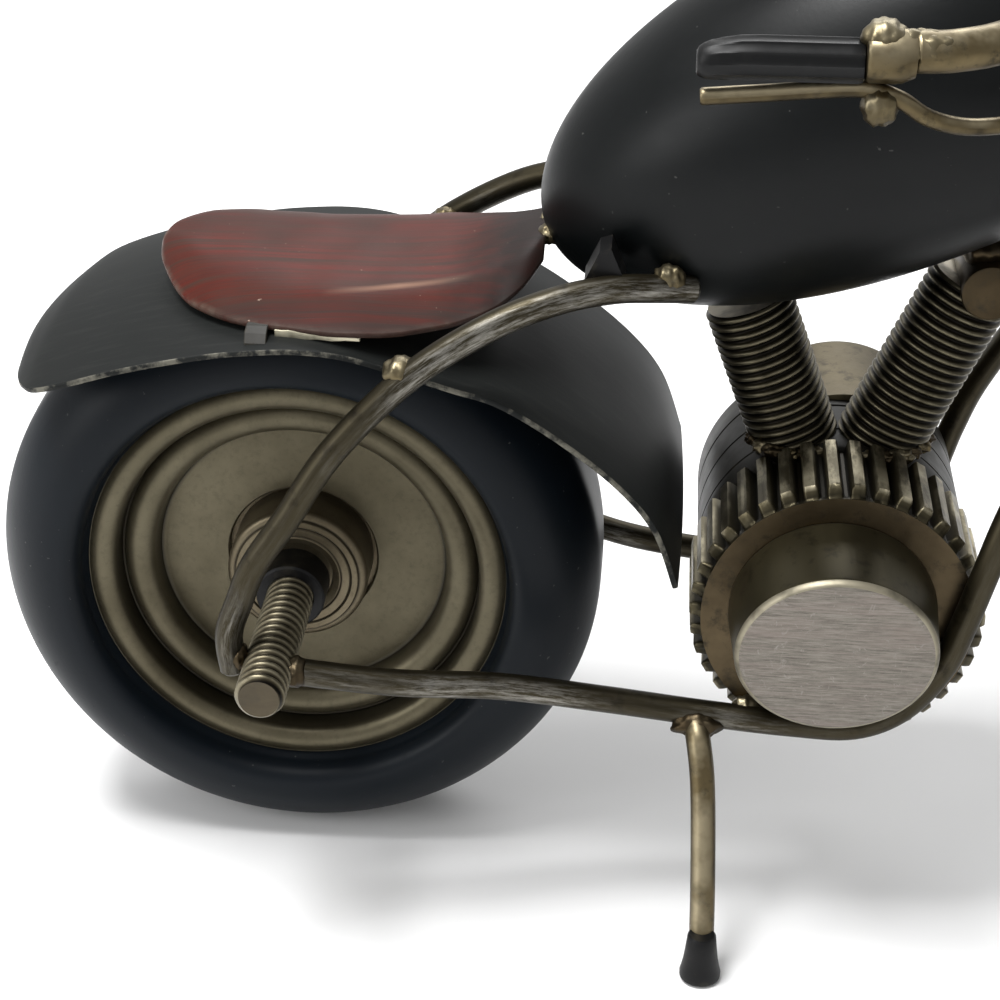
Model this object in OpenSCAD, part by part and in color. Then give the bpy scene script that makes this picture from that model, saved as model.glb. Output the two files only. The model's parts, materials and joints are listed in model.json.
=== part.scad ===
// Welded-metal motorcycle model: bent round-bar frame, spun-sheet wheels,
// threaded-rod cylinders, gear-like crankcase, raked steerable fork.
// Millimetres. X forward, Y to the rider's left, Z up, ground at Z = 0.
// Node points are given from the rear axle centre and shifted once.

/* [Wheels] */
// Outer radius of both tyres
tyre_r = 58; // [57.5:0.25:58.25]
// Half width of a tyre
tyre_half_w = 20; // [18:0.5:20]
// Distance between the two axles
wheelbase = 240; // [238:1:250]
// Radius where the rim meets the tyre
rim_r = 40.9; // [40.5:0.1:41.5]
// Radius of the threaded axles
axle_r = 4.5; // [4:0.1:5]
// Running clearance of wheels and steering, radial
run_gap = 0.05; // [0.02:0.01:0.1]

/* [Frame] */
// Diameter of the bent frame bar
bar_d = 5; // [4:0.5:5.5]
// Half length of the rear axle
rear_axle_half = 57.5; // [54:0.5:60]
// Thickness of the mudguard sheet
sheet_t = 1; // [0.8:0.1:1.1]

/* [Engine] */
// Outer radius of the toothed crankcase ring
gear_r = 27; // [26:0.5:27.5]
// Number of teeth on the crankcase ring
gear_teeth = 38; // [24:1:40]
// Radius of a threaded-rod cylinder
cyl_r = 8.25; // [7.5:0.25:8.5]
// Radius of the flat-faced cover on the right
cover_r = 18; // [16:0.5:18]

/* [Fork] */
// Steering head rake from vertical, degrees
rake = 32; // [31:0.5:33]
// Forward offset of the fork legs from the steering axis
fork_off = 8; // [7:0.5:9]
// Half distance between the fork legs
leg_y = 31; // [30:0.5:32]
// Radius of a fork leg
leg_r = 3.2; // [3:0.1:3.5]

/* [Hidden] */
$fn = 48;

bar_r = bar_d / 2;
ax_bore = axle_r + run_gap;
stem_r = 5;
// steering geometry in the XZ plane, from the rear axle centre
fa = [-sin(rake), 0, cos(rake)];       // up along the steering axis
fn_ = [cos(rake), 0, sin(rake)];       // forward, square to it
fw = [wheelbase, 0, 0];                // front axle centre
function on_leg(t, n = 0) = fw + t * fa + n * fn_;
function on_head(t, n = 0) = fw + t * fa + (n - fork_off) * fn_;

// ---- colours
c_tyre = [0.05, 0.07, 0.10];
c_rim = [0.45, 0.41, 0.32];
c_bar = [0.36, 0.33, 0.27];
c_black = [0.08, 0.09, 0.10];
c_seat = [0.42, 0.17, 0.13];
c_steel = [0.60, 0.58, 0.55];
c_brass = [0.60, 0.52, 0.38];

// ---- helpers
module place() translate([-wheelbase / 2, 0, tyre_r]) children();
// turns a profile revolved about Z so that it revolves about Y, +Z to +Y
module about_y() rotate([-90, 0, 0]) children();
module ycyl(r, y0, y1, x = 0, z = 0)
  translate([x, y0, z]) rotate([-90, 0, 0]) cylinder(r = r, h = y1 - y0);
function flip(p) = [for (q = p) [q[0], -q[1], q[2]]];
function vlen(v) = sqrt(v * v);
function unit(v) = v / vlen(v);
// Catmull-Rom point between b and c
function cr(a, b, c, d, t) = 0.5 * ((2 * b) + (c - a) * t
  + (2 * a - 5 * b + 4 * c - d) * t * t + (3 * b - a - 3 * c + d) * t * t * t);
function smooth_path(p, k) = let (n = len(p)) concat(
  [for (i = [0 : n - 2]) for (j = [0 : k - 1])
    cr(p[max(i - 1, 0)], p[i], p[i + 1], p[min(i + 2, n - 1)], j / k)], [p[n - 1]]);
// closed tube swept along points, frame kept square to a reference vector
module bent_bar(p, r, ref = [0, 1, 0], n = 12) {
  m = len(p);
  tan = [for (i = [0 : m - 1]) unit(p[min(i + 1, m - 1)] - p[max(i - 1, 0)])];
  u = [for (i = [0 : m - 1]) unit(cross(tan[i], ref))];
  v = [for (i = [0 : m - 1]) cross(tan[i], u[i])];
  pts = concat([for (i = [0 : m - 1]) for (k = [0 : n - 1])
    p[i] + r * cos(360 * k / n) * u[i] + r * sin(360 * k / n) * v[i]], [p[0], p[m - 1]]);
  a = m * n; b = a + 1;
  faces = concat(
    [for (i = [0 : m - 2]) for (k = [0 : n - 1]) let (k2 = (k + 1) % n)
      [i * n + k, i * n + k2, (i + 1) * n + k2]],
    [for (i = [0 : m - 2]) for (k = [0 : n - 1]) let (k2 = (k + 1) % n)
      [i * n + k, (i + 1) * n + k2, (i + 1) * n + k]],
    [for (k = [0 : n - 1]) [a, (k + 1) % n, k]],
    [for (k = [0 : n - 1]) [b, (m - 1) * n + k, (m - 1) * n + (k + 1) % n]]);
  polyhedron(points = pts, faces = faces, convexity = 6);
}
// closed thin shell from a grid of top points and a grid of bottom points
module shell(top, bot) {
  m = len(top); n = len(top[0]);
  pts = concat([for (r = top) for (q = r) q], [for (r = bot) for (q = r) q]);
  o = m * n;
  faces = concat(
    [for (i = [0 : m - 2]) for (j = [0 : n - 2]) [i * n + j, (i + 1) * n + j, (i + 1) * n + j + 1]],
    [for (i = [0 : m - 2]) for (j = [0 : n - 2]) [i * n + j, (i + 1) * n + j + 1, i * n + j + 1]],
    [for (i = [0 : m - 2]) for (j = [0 : n - 2]) [o + i * n + j, o + (i + 1) * n + j + 1, o + (i + 1) * n + j]],
    [for (i = [0 : m - 2]) for (j = [0 : n - 2]) [o + i * n + j, o + i * n + j + 1, o + (i + 1) * n + j + 1]],
    [for (i = [0 : m - 2]) [i * n, o + (i + 1) * n, (i + 1) * n]],
    [for (i = [0 : m - 2]) [i * n, o + i * n, o + (i + 1) * n]],
    [for (i = [0 : m - 2]) [i * n + n - 1, (i + 1) * n + n - 1, o + (i + 1) * n + n - 1]],
    [for (i = [0 : m - 2]) [i * n + n - 1, o + (i + 1) * n + n - 1, o + i * n + n - 1]],
    [for (j = [0 : n - 2]) [j, j + 1, o + j + 1]],
    [for (j = [0 : n - 2]) [j, o + j + 1, o + j]],
    [for (j = [0 : n - 2]) [(m - 1) * n + j, o + (m - 1) * n + j + 1, (m - 1) * n + j + 1]],
    [for (j = [0 : n - 2]) [(m - 1) * n + j, o + (m - 1) * n + j, o + (m - 1) * n + j + 1]]);
  polyhedron(points = pts, faces = faces, convexity = 8);
}

// ---- wheels, built about the axle centre
module tyre_body() {
  rc = 44; sr = 15.2;
  pts = concat(
    [for (t = [-90 : 10 : 90]) [min(tyre_r, rc + sr * cos(t)), tyre_half_w * sin(t)]],
    [[42.4, 19.2], [41.3, 17.4], [rim_r, 15], [rim_r, -15], [41.3, -17.4], [42.4, -19.2]]);
  about_y() rotate_extrude($fn = 96) polygon(pts);
}
// one side plate with two raised rings; s = -1 for the right side
module rim_plate(s) {
  front = concat(
    [[14.4, 5.3], [27.5, 5.3], [28.3, 6.6]],
    [for (t = [160 : -20 : 30]) [31.3 + 3 * cos(t), 7.6 + 3 * sin(t)]],
    [[34.6, 9.2], [34.9, 11]],
    [for (t = [160 : -20 : 40]) [37.7 + 2.8 * cos(t), 12.2 + 2.8 * sin(t)]],
    [[rim_r - 0.6, 13.9], [rim_r, 14.2]]);
  back = [[rim_r, 11.5], [36, 8.5], [29, 3.3], [14.4, 3.3]];
  p = [for (q = concat(front, back)) [q[0], s * q[1]]];
  about_y() rotate_extrude($fn = 96) polygon(p);
}
module hub_body() {
  about_y() rotate_extrude() polygon([
    [ax_bore, -14], [13, -14], [13.5, -13.5], [13.5, -3.3], [26, -3.3], [26, 3.3],
    [13.5, 3.3], [13.5, 13.5], [13, 14], [ax_bore, 14]]);
}
module rear_tyre() color(c_tyre) place() tyre_body();
module rear_rim_right() color(c_rim) place() rim_plate(-1);
module rear_rim_left() color(c_rim) place() rim_plate(1);
module rear_hub() color(c_rim) place() hub_body();
module front_tyre() color(c_tyre) place() translate(fw) tyre_body();
module front_rim_right() color(c_rim) place() translate(fw) rim_plate(-1);
module front_rim_left() color(c_rim) place() translate(fw) rim_plate(1);
module front_hub() color(c_rim) place() translate(fw) hub_body();

// ---- axles and spacers
module axle_bar(h) about_y() union() {
  translate([0, 0, -h + 1]) cylinder(r = axle_r, h = 2 * h - 2);
  translate([0, 0, -h]) cylinder(r1 = axle_r - 0.8, r2 = axle_r, h = 1);
  translate([0, 0, h - 1]) cylinder(r1 = axle_r, r2 = axle_r - 0.8, h = 1);
}
module spacer(s, y1) about_y() translate([0, 0, s > 0 ? 14.3 : -y1])
  difference() {
    cylinder(r = 6.5, h = y1 - 14.3);
    translate([0, 0, -1]) cylinder(r = axle_r, h = y1);
  }
module rear_axle() color(c_bar) place() axle_bar(rear_axle_half);
module rear_spacer_right() color(c_black) place() spacer(-1, 22);
module rear_spacer_left() color(c_black) place() spacer(1, 22);
module front_axle() color(c_bar) place() translate(fw) axle_bar(leg_y + 8);
module front_spacer_right() color(c_black) place() translate(fw) spacer(-1, leg_y - leg_r - 0.4);
module front_spacer_left() color(c_black) place() translate(fw) spacer(1, leg_y - leg_r - 0.4);

// ---- bent frame bars, right side; the left side is the mirror
rail_pts = [[3.4, -46, -1], [22, -43, -4.4], [41, -37, -8], [60, -32.5, -12.6],
  [77.6, -31.5, -15.2], [94, -31.5, -16.6], [106, -31.5, -16.6], [114.6, -31.3, -12.2],
  [121, -31.2, -3.2], [124.2, -31, 6.4], [126.8, -30.7, 16], [130.5, -28.5, 27.5], [139, -22, 47],
  [151, -15, 68], [161, -10, 80], [166, -8, 85.5]];
stay_pts = [[-6.4, -46, -1.5], [-7, -46, 6], [-4.8, -45.5, 13], [-2, -45, 20], [4, -44, 29],
  [11, -42, 40], [20, -40, 50], [29, -37.5, 57.2], [40.3, -35, 63.6], [50.3, -32, 66.8],
  [59, -28.5, 67.5], [66, -25.2, 66.6], [73, -21.5, 65.2]];
module right_frame_rail() color(c_bar) place() bent_bar(smooth_path(rail_pts, 3), bar_r);
module left_frame_rail() color(c_bar) place() bent_bar(smooth_path(flip(rail_pts), 3), bar_r);
module right_seat_stay() color(c_bar) place() bent_bar(smooth_path(stay_pts, 3), bar_r);
module left_seat_stay() color(c_bar) place() bent_bar(smooth_path(flip(stay_pts), 3), bar_r);

// ---- rear mudguard: crowned sheet over the tyre, round tongue behind, square front
guard_pts = [[-50, 0, 43], [-46, 0, 45], [-40, 0, 47.6], [-26.4, 0, 52], [-12, 0, 55.2], [-3, 0, 56.4], [5.5, 0, 56.8],
  [13.3, 0, 56], [22, 0, 53.6], [31.5, 0, 50.6], [40.2, 0, 47.8], [50.7, 0, 41.3], [61.2, 0, 32.7],
  [68.2, 0, 23.9], [72.4, 0, 12.2]];
guard_path = smooth_path(guard_pts, 2);
guard_w = 35; guard_crown = 2.9;
function guard_half(u) = (guard_w - 2 * u * u - 1) * sqrt(max(0, 1 - pow(max(0, 1 - u / 0.19), 2))) + 1;
function guard_grid(off, n = 8) = let (m = len(guard_path)) [for (i = [0 : m - 1])
  let (t = unit(guard_path[min(i + 1, m - 1)] - guard_path[max(i - 1, 0)]), nn = [-t[2], 0, t[0]],
       u = i / (m - 1), w = guard_half(u), c = guard_crown * (1 - 0.75 * u * u * u) * min(1, w / 32))
  [for (j = [0 : n]) let (v = 2 * j / n - 1) guard_path[i] + [0, v * w, 0] + nn * (off + c * (1 - v * v))]];
module rear_mudguard() color(c_black) place() shell(guard_grid(0), guard_grid(-sheet_t));

// ---- seat: thin saddle skin, wide and round behind, narrow at the tank
// each row: x, half width, crown height, sideways centre
seat_rows = smooth_path([[-25.5, 2.5, 61.6, 5], [-24, 10, 62.4, 5.6], [-19, 19.5, 63.2, 4], [-13, 24.3, 63.6, 1.2],
  [-5, 26.6, 63.8, -1.8], [4, 27.4, 63.9, -3.2], [13, 28.4, 63.9, -3.7], [20, 28.6, 64, -3.2], [26, 28, 64.3, -2.2],
  [32, 26, 65, -1.8], [38, 22.6, 66.4, -1.6], [43, 17.8, 67.8, -1], [46, 12.5, 68.6, 1.5]], 2);
function seat_grid(off) = [for (q = seat_rows) [for (j = [0 : 12]) let (v = j / 6 - 1)
  [q[0], v * q[1] + q[3], q[2] + off - 4.7 * pow(abs(v), 2.6) * min(1, q[1] / 22)]]];
module seat_shell() color(c_seat) place() shell(seat_grid(0), seat_grid(-0.9));
module seat_bracket() color(c_bar) place() union() {
  translate([-3, -26.8, 57.2]) cube([6, 5, 2.8]);
  translate([-3, 16, 57.2]) cube([6, 5, 2.8]);
}

// ---- tank: blunt egg, raised at the front
tank_p0 = [46.4, 0, 67]; tank_pitch = 25.8; tank_len = 109.5; tank_r = 32; tank_wide = 0.66;
function tank_rad(u) = let (t = u < tank_wide ? (tank_wide - u) / tank_wide : (u - tank_wide) / (1 - tank_wide))
  tank_r * pow(max(0, 1 - pow(t, 2.2)), 0.51);
module tank() color(c_black) place() translate(tank_p0) rotate([0, 90 - tank_pitch, 0])
  rotate_extrude($fn = 96) polygon(concat(
    [for (a = [0 : 9 : 90]) let (u = tank_wide * (1 - cos(a))) [tank_rad(u), tank_len * u]],
    [for (a = [81 : -9 : 0]) let (u = tank_wide + (1 - tank_wide) * cos(a)) [tank_rad(u), tank_len * u]]));
module tank_gusset() color(c_black) place() for (s = [-1, 1])
  translate([57, s * 24.5, 68.6]) rotate([90, 0, 0]) linear_extrude(height = 7, center = true)
    polygon([[-3, 0], [4, 0], [1.5, 6], [-0.5, 5.4]]);
module tank_rest_bar() color(c_brass) place() union() {
  ycyl(5.2, -9, 9, 125.5, 61);
  translate([120.5, -7, 62]) cube([10, 14, 8.6]);
}
module backbone_bar() color(c_bar) place() bent_bar([[138, 0, 98], [150, 0, 98.8], [159.8, 0, 99.5]], 3);
module head_tube() color(c_bar) place() translate(on_head(108)) rotate([0, -rake, 0]) difference() {
  cylinder(r = 8, h = 28);
  translate([0, 0, -1]) cylinder(r = stem_r + run_gap, h = 30);
}

// ---- engine about a cross axis
eng = [101.6, 0, 4];
cover_left = [103.5, 0, 12];
module gear_band(y0, y1) translate(eng) about_y() translate([0, 0, y0]) difference() {
  cylinder(r = gear_r, h = y1 - y0);
  for (k = [0 : gear_teeth - 1]) rotate(360 * k / gear_teeth) translate([gear_r, 0, -1])
    cylinder(r = gear_r * 0.045, h = y1 - y0 + 2, $fn = 16);
}
module gear_ring() color(c_brass) place() gear_band(-28, -8.5);
module engine_barrel() color(c_black) place() difference() {
  ycyl(25.4, -8.5, 28, eng[0], eng[2]);
  ycyl(18.5, 12, 29, cover_left[0], cover_left[2]);
}
// right cover: a drum that tapers a little, its face sawn at a slant
module engine_cover_right() color(c_steel) place() hull() {
  translate([eng[0] - 0.9, -28, eng[2] + 1.2]) rotate([90, 0, 0]) cylinder(r = cover_r + 1, h = 0.6, $fn = 96);
  translate([eng[0] - 0.9, -43.9, eng[2] + 1.2]) rotate([12.5, 0, 0]) rotate([90, 0, 0])
    translate([0, 0, -1.2]) cylinder(r1 = cover_r, r2 = cover_r - 1.2, h = 1.2, $fn = 96);
}
module engine_cover_left() color(c_steel) place() union() {
  ycyl(18.5, 12, 37, cover_left[0], cover_left[2]);
  translate([cover_left[0], 37, cover_left[2]]) rotate([-90, 0, 0]) cylinder(r1 = 18.5, r2 = 17, h = 1.5);
}
// cylinders: round bars standing on the barrel, tops tilted apart
module leaning(base, top) let (d = top - base) translate(base)
  rotate([0, atan2(d[0], d[2]), 0]) cylinder(r = cyl_r, h = vlen(d));
module rear_cylinder() color(c_bar) place() leaning([93.6, 0, 26.6], [83, 0, 55]);
module front_cylinder() color(c_bar) place() leaning([108.6, 0, 26.6], [123.6, 0, 60]);

// ---- kickstand
stand_x = 79.5; stand_y = -54.5;
module kickstand_bar() color(c_brass) place()
  bent_bar(smooth_path([[76.5, -32.5, -16], [77.5, -36.5, -18.5], [78.6, -41, -26], [79.3, -48.5, -41], [79.5, -53.5, -51]], 2), 2.3);
module kickstand_foot() color(c_black) place() translate([stand_x, stand_y, -tyre_r]) union() {
  cylinder(r = 3.8, h = 1.6);
  translate([0, 0, 1.6]) cylinder(r1 = 3.8, r2 = 2.6, h = 8);
}

// ---- weld beads that hold the frame together
module bead(p, r) translate(p) sphere(r = r, $fn = 24);
module weld_beads() color(c_brass) place() for (s = [-1, 1]) {
  bead([24.3, s * 36.3, 53.9], 3);
  bead([68.5, s * 23.6, 68], 2.8);
  bead([86, s * 29.2, -15.2], 2.6);
  bead([47, s * 3.5, 67.6], 2.2);
}

// ---- front end, everything square to the steering axis
module on_axis(t, n = 0) translate(on_head(t, n)) rotate([0, -rake, 0]) children();
module steering_stem() color(c_steel) place() on_axis(104) cylinder(r = stem_r, h = 52);
module clamp_plate(t) on_axis(t) difference() {
  union() {
    translate([-8, -leg_y - 6, 0]) cube([22, 2 * leg_y + 12, 4]);
  }
  for (s = [-1, 1]) translate([fork_off, s * leg_y, -1]) cylinder(r = leg_r, h = 6);
}
module lower_clamp() color(c_bar) place() clamp_plate(100);
module upper_clamp() color(c_bar) place() difference() {
  clamp_plate(138);
  on_axis(137) cylinder(r = stem_r, h = 6);
}
module fork_leg(s) translate([0, s * leg_y, 0]) translate(on_leg(-1)) rotate([0, -rake, 0]) cylinder(r = leg_r, h = 147);
module fork_leg_right() color(c_steel) place() fork_leg(-1);
module fork_leg_left() color(c_steel) place() fork_leg(1);
hb = on_head(156);
hb_half = [[103, 60, 120.2], [109, 59, 120.2], [117, 55, 120.8], [127, 46.5, 123], [138, 33.5, 126.2], [147, 17, 128.2], [hb[0], 0, hb[2]]];
hb_pts = concat(flip(hb_half), [for (i = [5 : -1 : 0]) hb_half[i]]);
module handlebar() color(c_brass) place() bent_bar(smooth_path(hb_pts, 3), 3.2, [0, 0, 1]);
module bar_collar(s) translate([95.8, s * 60, 119.6]) rotate([0, 90, 0]) cylinder(r = 4.4, h = 7.4);
module bar_collar_right() color(c_brass) place() bar_collar(-1);
module bar_collar_left() color(c_brass) place() bar_collar(1);
module grip(s) translate([71, s * 60, 118.6]) rotate([0, 90, 0]) cylinder(r = 3.5, h = 24.8);
module grip_right() color(c_black) place() grip(-1);
module grip_left() color(c_black) place() grip(1);
lever_pts = [[71.8, -60, 112.4], [82, -60, 113.3], [92, -60, 114.2], [97, -60, 114.2], [101.5, -60, 112.8],
  [106, -59, 109.8], [112, -56, 107.6], [120, -52, 107], [134, -45.5, 107.5], [150, -39.5, 108.8], [165, -35.2, 110]];
module lever_right() color(c_brass) place() bent_bar(smooth_path(lever_pts, 2), 1.35, [0, 1, 0], 8);
module lever_left() color(c_brass) place() bent_bar(smooth_path(flip(lever_pts), 2), 1.35, [0, 1, 0], 8);
module lever_weld(s) bead([98.5, s * 60, 111.8], 3.2);
module lever_weld_right() color(c_brass) place() lever_weld(-1);
module lever_weld_left() color(c_brass) place() lever_weld(1);

// ---- front mudguard: same sheet, an arc about the front axle
fg_r = 60.4; fg_half = 25;
function fg_grid(off) = [for (i = [0 : 24]) let (a = 40 + 130 * i / 24, c = [cos(a), 0, sin(a)],
    w = fg_half * sqrt(max(0.003, 1 - pow(max(0, 1 - i / 3.5), 2))))
  [for (j = [0 : 8]) let (v = j / 4 - 1) fw + [0, v * w, 0] + c * (fg_r + off - 2.6 * v * v * min(1, w / 25))]];
module front_mudguard() color(c_black) place() shell([for (r = fg_grid(0)) r], [for (r = fg_grid(sheet_t)) r]);
module mudguard_stays() color(c_brass) place() for (s = [-1, 1]) let (p = on_leg(59.5))
  ycyl(2, s > 0 ? 24.4 : -leg_y + leg_r - 0.6, s > 0 ? leg_y - leg_r + 0.6 : -24.4, p[0], p[2]);

// ---- headlamp
lamp = on_head(122, 23);
module lamp_shell() color(c_black) place() translate(lamp) rotate([0, 90, 0]) rotate_extrude($fn = 64) polygon(concat(
  [for (a = [0 : 10 : 90]) [15 * sin(a), -11 - 0 + 12 * (1 - cos(a)) - 1]],
  [[15, 10], [13.4, 10], [13.4, 8], [0, 8]]));
module lamp_lens() color([0.9, 0.9, 0.85]) place() translate(lamp + [8, 0, 0]) rotate([0, 90, 0]) rotate_extrude($fn = 64) polygon(concat(
  [[0, 0], [13.4, 0], [13.4, 2]], [for (a = [80 : -10 : 0]) [13.4 * sin(a), 2 + 2.4 * (cos(a))]]));
module lamp_post() color(c_bar) place() let (p = on_head(103.5, 10)) translate(p) rotate([0, -12, 0]) cylinder(r = 2.4, h = 10);

rear_tyre();
rear_rim_right();
rear_rim_left();
rear_hub();
front_tyre();
front_rim_right();
front_rim_left();
front_hub();
rear_axle();
rear_spacer_right();
rear_spacer_left();
right_frame_rail();
left_frame_rail();
right_seat_stay();
left_seat_stay();
rear_mudguard();
seat_shell();
seat_bracket();
tank();
tank_gusset();
tank_rest_bar();
backbone_bar();
head_tube();
rear_cylinder();
front_cylinder();
engine_barrel();
gear_ring();
engine_cover_right();
engine_cover_left();
kickstand_bar();
kickstand_foot();
weld_beads();
steering_stem();
lower_clamp();
upper_clamp();
fork_leg_right();
fork_leg_left();
handlebar();
bar_collar_right();
bar_collar_left();
grip_right();
grip_left();
lever_right();
lever_left();
lever_weld_right();
lever_weld_left();
front_axle();
front_spacer_right();
front_spacer_left();
front_mudguard();
mudguard_stays();
lamp_shell();
lamp_lens();
lamp_post();
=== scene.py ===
import bpy, bmesh, math, json
import numpy as np
from mathutils import Vector, Matrix, noise


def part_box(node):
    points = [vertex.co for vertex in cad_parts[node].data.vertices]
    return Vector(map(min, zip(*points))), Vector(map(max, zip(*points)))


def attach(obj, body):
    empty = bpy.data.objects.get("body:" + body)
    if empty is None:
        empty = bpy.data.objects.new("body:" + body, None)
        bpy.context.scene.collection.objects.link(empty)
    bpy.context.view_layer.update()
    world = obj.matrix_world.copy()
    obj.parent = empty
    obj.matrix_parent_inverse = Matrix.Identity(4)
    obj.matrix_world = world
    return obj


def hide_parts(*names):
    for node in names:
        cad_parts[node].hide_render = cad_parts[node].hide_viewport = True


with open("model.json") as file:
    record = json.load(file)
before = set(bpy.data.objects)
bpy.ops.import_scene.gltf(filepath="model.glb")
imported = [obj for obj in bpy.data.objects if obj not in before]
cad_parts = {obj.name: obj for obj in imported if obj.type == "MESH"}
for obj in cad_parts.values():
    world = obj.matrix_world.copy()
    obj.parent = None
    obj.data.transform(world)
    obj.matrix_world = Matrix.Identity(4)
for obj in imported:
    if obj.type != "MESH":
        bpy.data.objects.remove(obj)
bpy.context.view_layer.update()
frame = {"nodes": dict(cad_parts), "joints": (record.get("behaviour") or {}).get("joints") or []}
NODES = frame["nodes"]


def mid(node):
    a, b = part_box(node)
    return (a + b) / 2


O = np.array(mid("rear_axle"))                 # rear axle centre, metres
WH = (np.array(mid("front_axle")) - O) * 1000   # front axle centre, mm from the rear one
steer = next(j for j in frame["joints"] if j["name"] == "steering")
FA = np.array(steer["axis"], float)
FN = np.array([FA[2], 0, -FA[0]])
FORK_OFF = 8.0
TYRE_R = (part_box("rear_tyre")[1].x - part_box("rear_tyre")[0].x) * 500


def on_leg(t, n=0.0):
    return WH + t * FA + n * FN


def on_head(t, n=0.0):
    return WH + t * FA + (n - FORK_OFF) * FN


# ------------------------------------------------------------------ mesh helpers
def V3(*a):
    return np.array(a, float)


def cr(a, b, c, d, t):
    return 0.5 * (2 * b + (c - a) * t + (2 * a - 5 * b + 4 * c - d) * t * t + (3 * b - a - 3 * c + d) * t ** 3)


def smooth(p, k):
    p = [np.array(q, float) for q in p]
    n = len(p)
    out = []
    for i in range(n - 1):
        for j in range(k):
            out.append(cr(p[max(i - 1, 0)], p[i], p[i + 1], p[min(i + 2, n - 1)], j / k))
    out.append(p[-1])
    return out


def make(name, verts, faces, body, material, repl=(), flat=None, wear_and_painted_light=None, smooth_shade=True,
         world=False, split=None, slots=None):
    """verts in mm from the rear axle centre; flat and wear are per-vertex attributes for the materials."""
    me = bpy.data.meshes.new(name)
    v = np.asarray(verts, float) * 0.001 + (0 if world else O)
    me.from_pydata([tuple(p) for p in v], [], [tuple(int(i) for i in f) for f in faces])
    if flat is not None:
        at = me.attributes.new("flat", "FLOAT_VECTOR", "POINT")
        at.data.foreach_set("vector", (np.asarray(flat, float) * 0.001).astype(np.float32).ravel())
    if wear_and_painted_light is not None:
        at = me.attributes.new("wear_and_painted_light", "FLOAT", "POINT")
        at.data.foreach_set("value", np.asarray(wear_and_painted_light, float).astype(np.float32).ravel())
    if slots is not None:
        for m in material:
            me.materials.append(m)
        me.polygons.foreach_set("material_index", np.asarray(slots, np.int32))
    else:
        me.materials.append(material)
    bm = bmesh.new()
    bm.from_mesh(me)
    bmesh.ops.recalc_face_normals(bm, faces=bm.faces)
    if split:
        lim = math.radians(split)
        for e in bm.edges:
            if len(e.link_faces) == 2:
                e.smooth = e.calc_face_angle(0) < lim
    bm.to_mesh(me)
    bm.free()
    me.polygons.foreach_set("use_smooth", [smooth_shade] * len(me.polygons))
    me.update()
    ob = bpy.data.objects.new(name, me)
    bpy.context.scene.collection.objects.link(ob)
    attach(ob, body)
    if repl:
        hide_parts(*repl)
    return ob


def tube_mesh(pts, r, n=24, ref=(0, 1, 0), shape=None, round_end=0.35):
    """Swept tube: r a number or one per ring; shape scales the radius by angle in degrees."""
    pts = [np.array(p, float) for p in pts]
    rs = [r] * len(pts) if np.isscalar(r) else list(r)
    t0 = pts[0] - pts[1]
    t0 /= np.linalg.norm(t0)
    t1 = pts[-1] - pts[-2]
    t1 /= np.linalg.norm(t1)
    if round_end:
        e = round_end
        pts = [pts[0]] + [pts[0] - t0 * e] + pts[1:-1] + [pts[-1] - t1 * e] + [pts[-1]]
        rs = [rs[0] - e * 0.8] + [rs[0]] + rs[1:-1] + [rs[-1]] + [rs[-1] - e * 0.8]
    m = len(pts)
    ref = np.array(ref, float)
    V, F, flat = [], [], []
    s = 0.0
    for i in range(m):
        a, b = pts[max(i - 1, 0)], pts[min(i + 1, m - 1)]
        t = b - a
        t /= np.linalg.norm(t)
        u = np.cross(t, ref)
        u /= np.linalg.norm(u)
        w = np.cross(t, u)
        if i:
            s += np.linalg.norm(pts[i] - pts[i - 1])
        for k in range(n):
            th = 2 * math.pi * k / n
            q = rs[i] * (shape(math.degrees(th), s) if shape else 1.0)
            V.append(pts[i] + q * (math.cos(th) * u + math.sin(th) * w))
            flat.append((q * math.cos(th), q * math.sin(th), s))
    for i in range(m - 1):
        for k in range(n):
            k2 = (k + 1) % n
            F.append((i * n + k, i * n + k2, (i + 1) * n + k2, (i + 1) * n + k))
    for base, ring, st in ((pts[0], 0, 0), (pts[-1], (m - 1) * n, s)):
        c = len(V)
        V.append(base)
        flat.append((0, 0, st))
        for k in range(n):
            k2 = (k + 1) % n
            F.append((c, ring + k2, ring + k) if ring == 0 else (c, ring + k, ring + k2))
    return V, F, flat


def revolve_mesh(prof, seg=128, closed=False, origin=(0, 0, 0), axis="y", basis=None, rmod=None):
    """prof is (radius, height) pairs along the axis; poles where radius is 0."""
    origin = np.array(origin, float)
    if basis is None:
        basis = {"y": (V3(1, 0, 0), V3(0, 0, 1), V3(0, 1, 0)), "x": (V3(0, 1, 0), V3(0, 0, 1), V3(1, 0, 0)),
                 "z": (V3(1, 0, 0), V3(0, 1, 0), V3(0, 0, 1))}[axis]
    e1, e2, e3 = basis
    V, rows, flat = [], [], []
    arc = 0.0
    for i, (r, h) in enumerate(prof):
        if i:
            arc += math.hypot(r - prof[i - 1][0], h - prof[i - 1][1])
        if r < 1e-6:
            rows.append([len(V)] * seg)
            V.append(origin + h * e3)
            flat.append((0, 0, h))
            continue
        row = []
        for k in range(seg):
            th = 2 * math.pi * k / seg
            q = r * (rmod(th, r, h) if rmod else 1.0)
            row.append(len(V))
            V.append(origin + q * (math.cos(th) * e1 + math.sin(th) * e2) + h * e3)
            flat.append((q * math.cos(th), q * math.sin(th), h))
        rows.append(row)
    F = []
    m = len(rows)
    for i in range(m if closed else m - 1):
        a, b = rows[i], rows[(i + 1) % m]
        for k in range(seg):
            k2 = (k + 1) % seg
            f = [a[k], a[k2], b[k2], b[k]]
            g = []
            for q in f:
                if q not in g:
                    g.append(q)
            if len(g) >= 3:
                F.append(tuple(g))
    return V, F, flat


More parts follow.
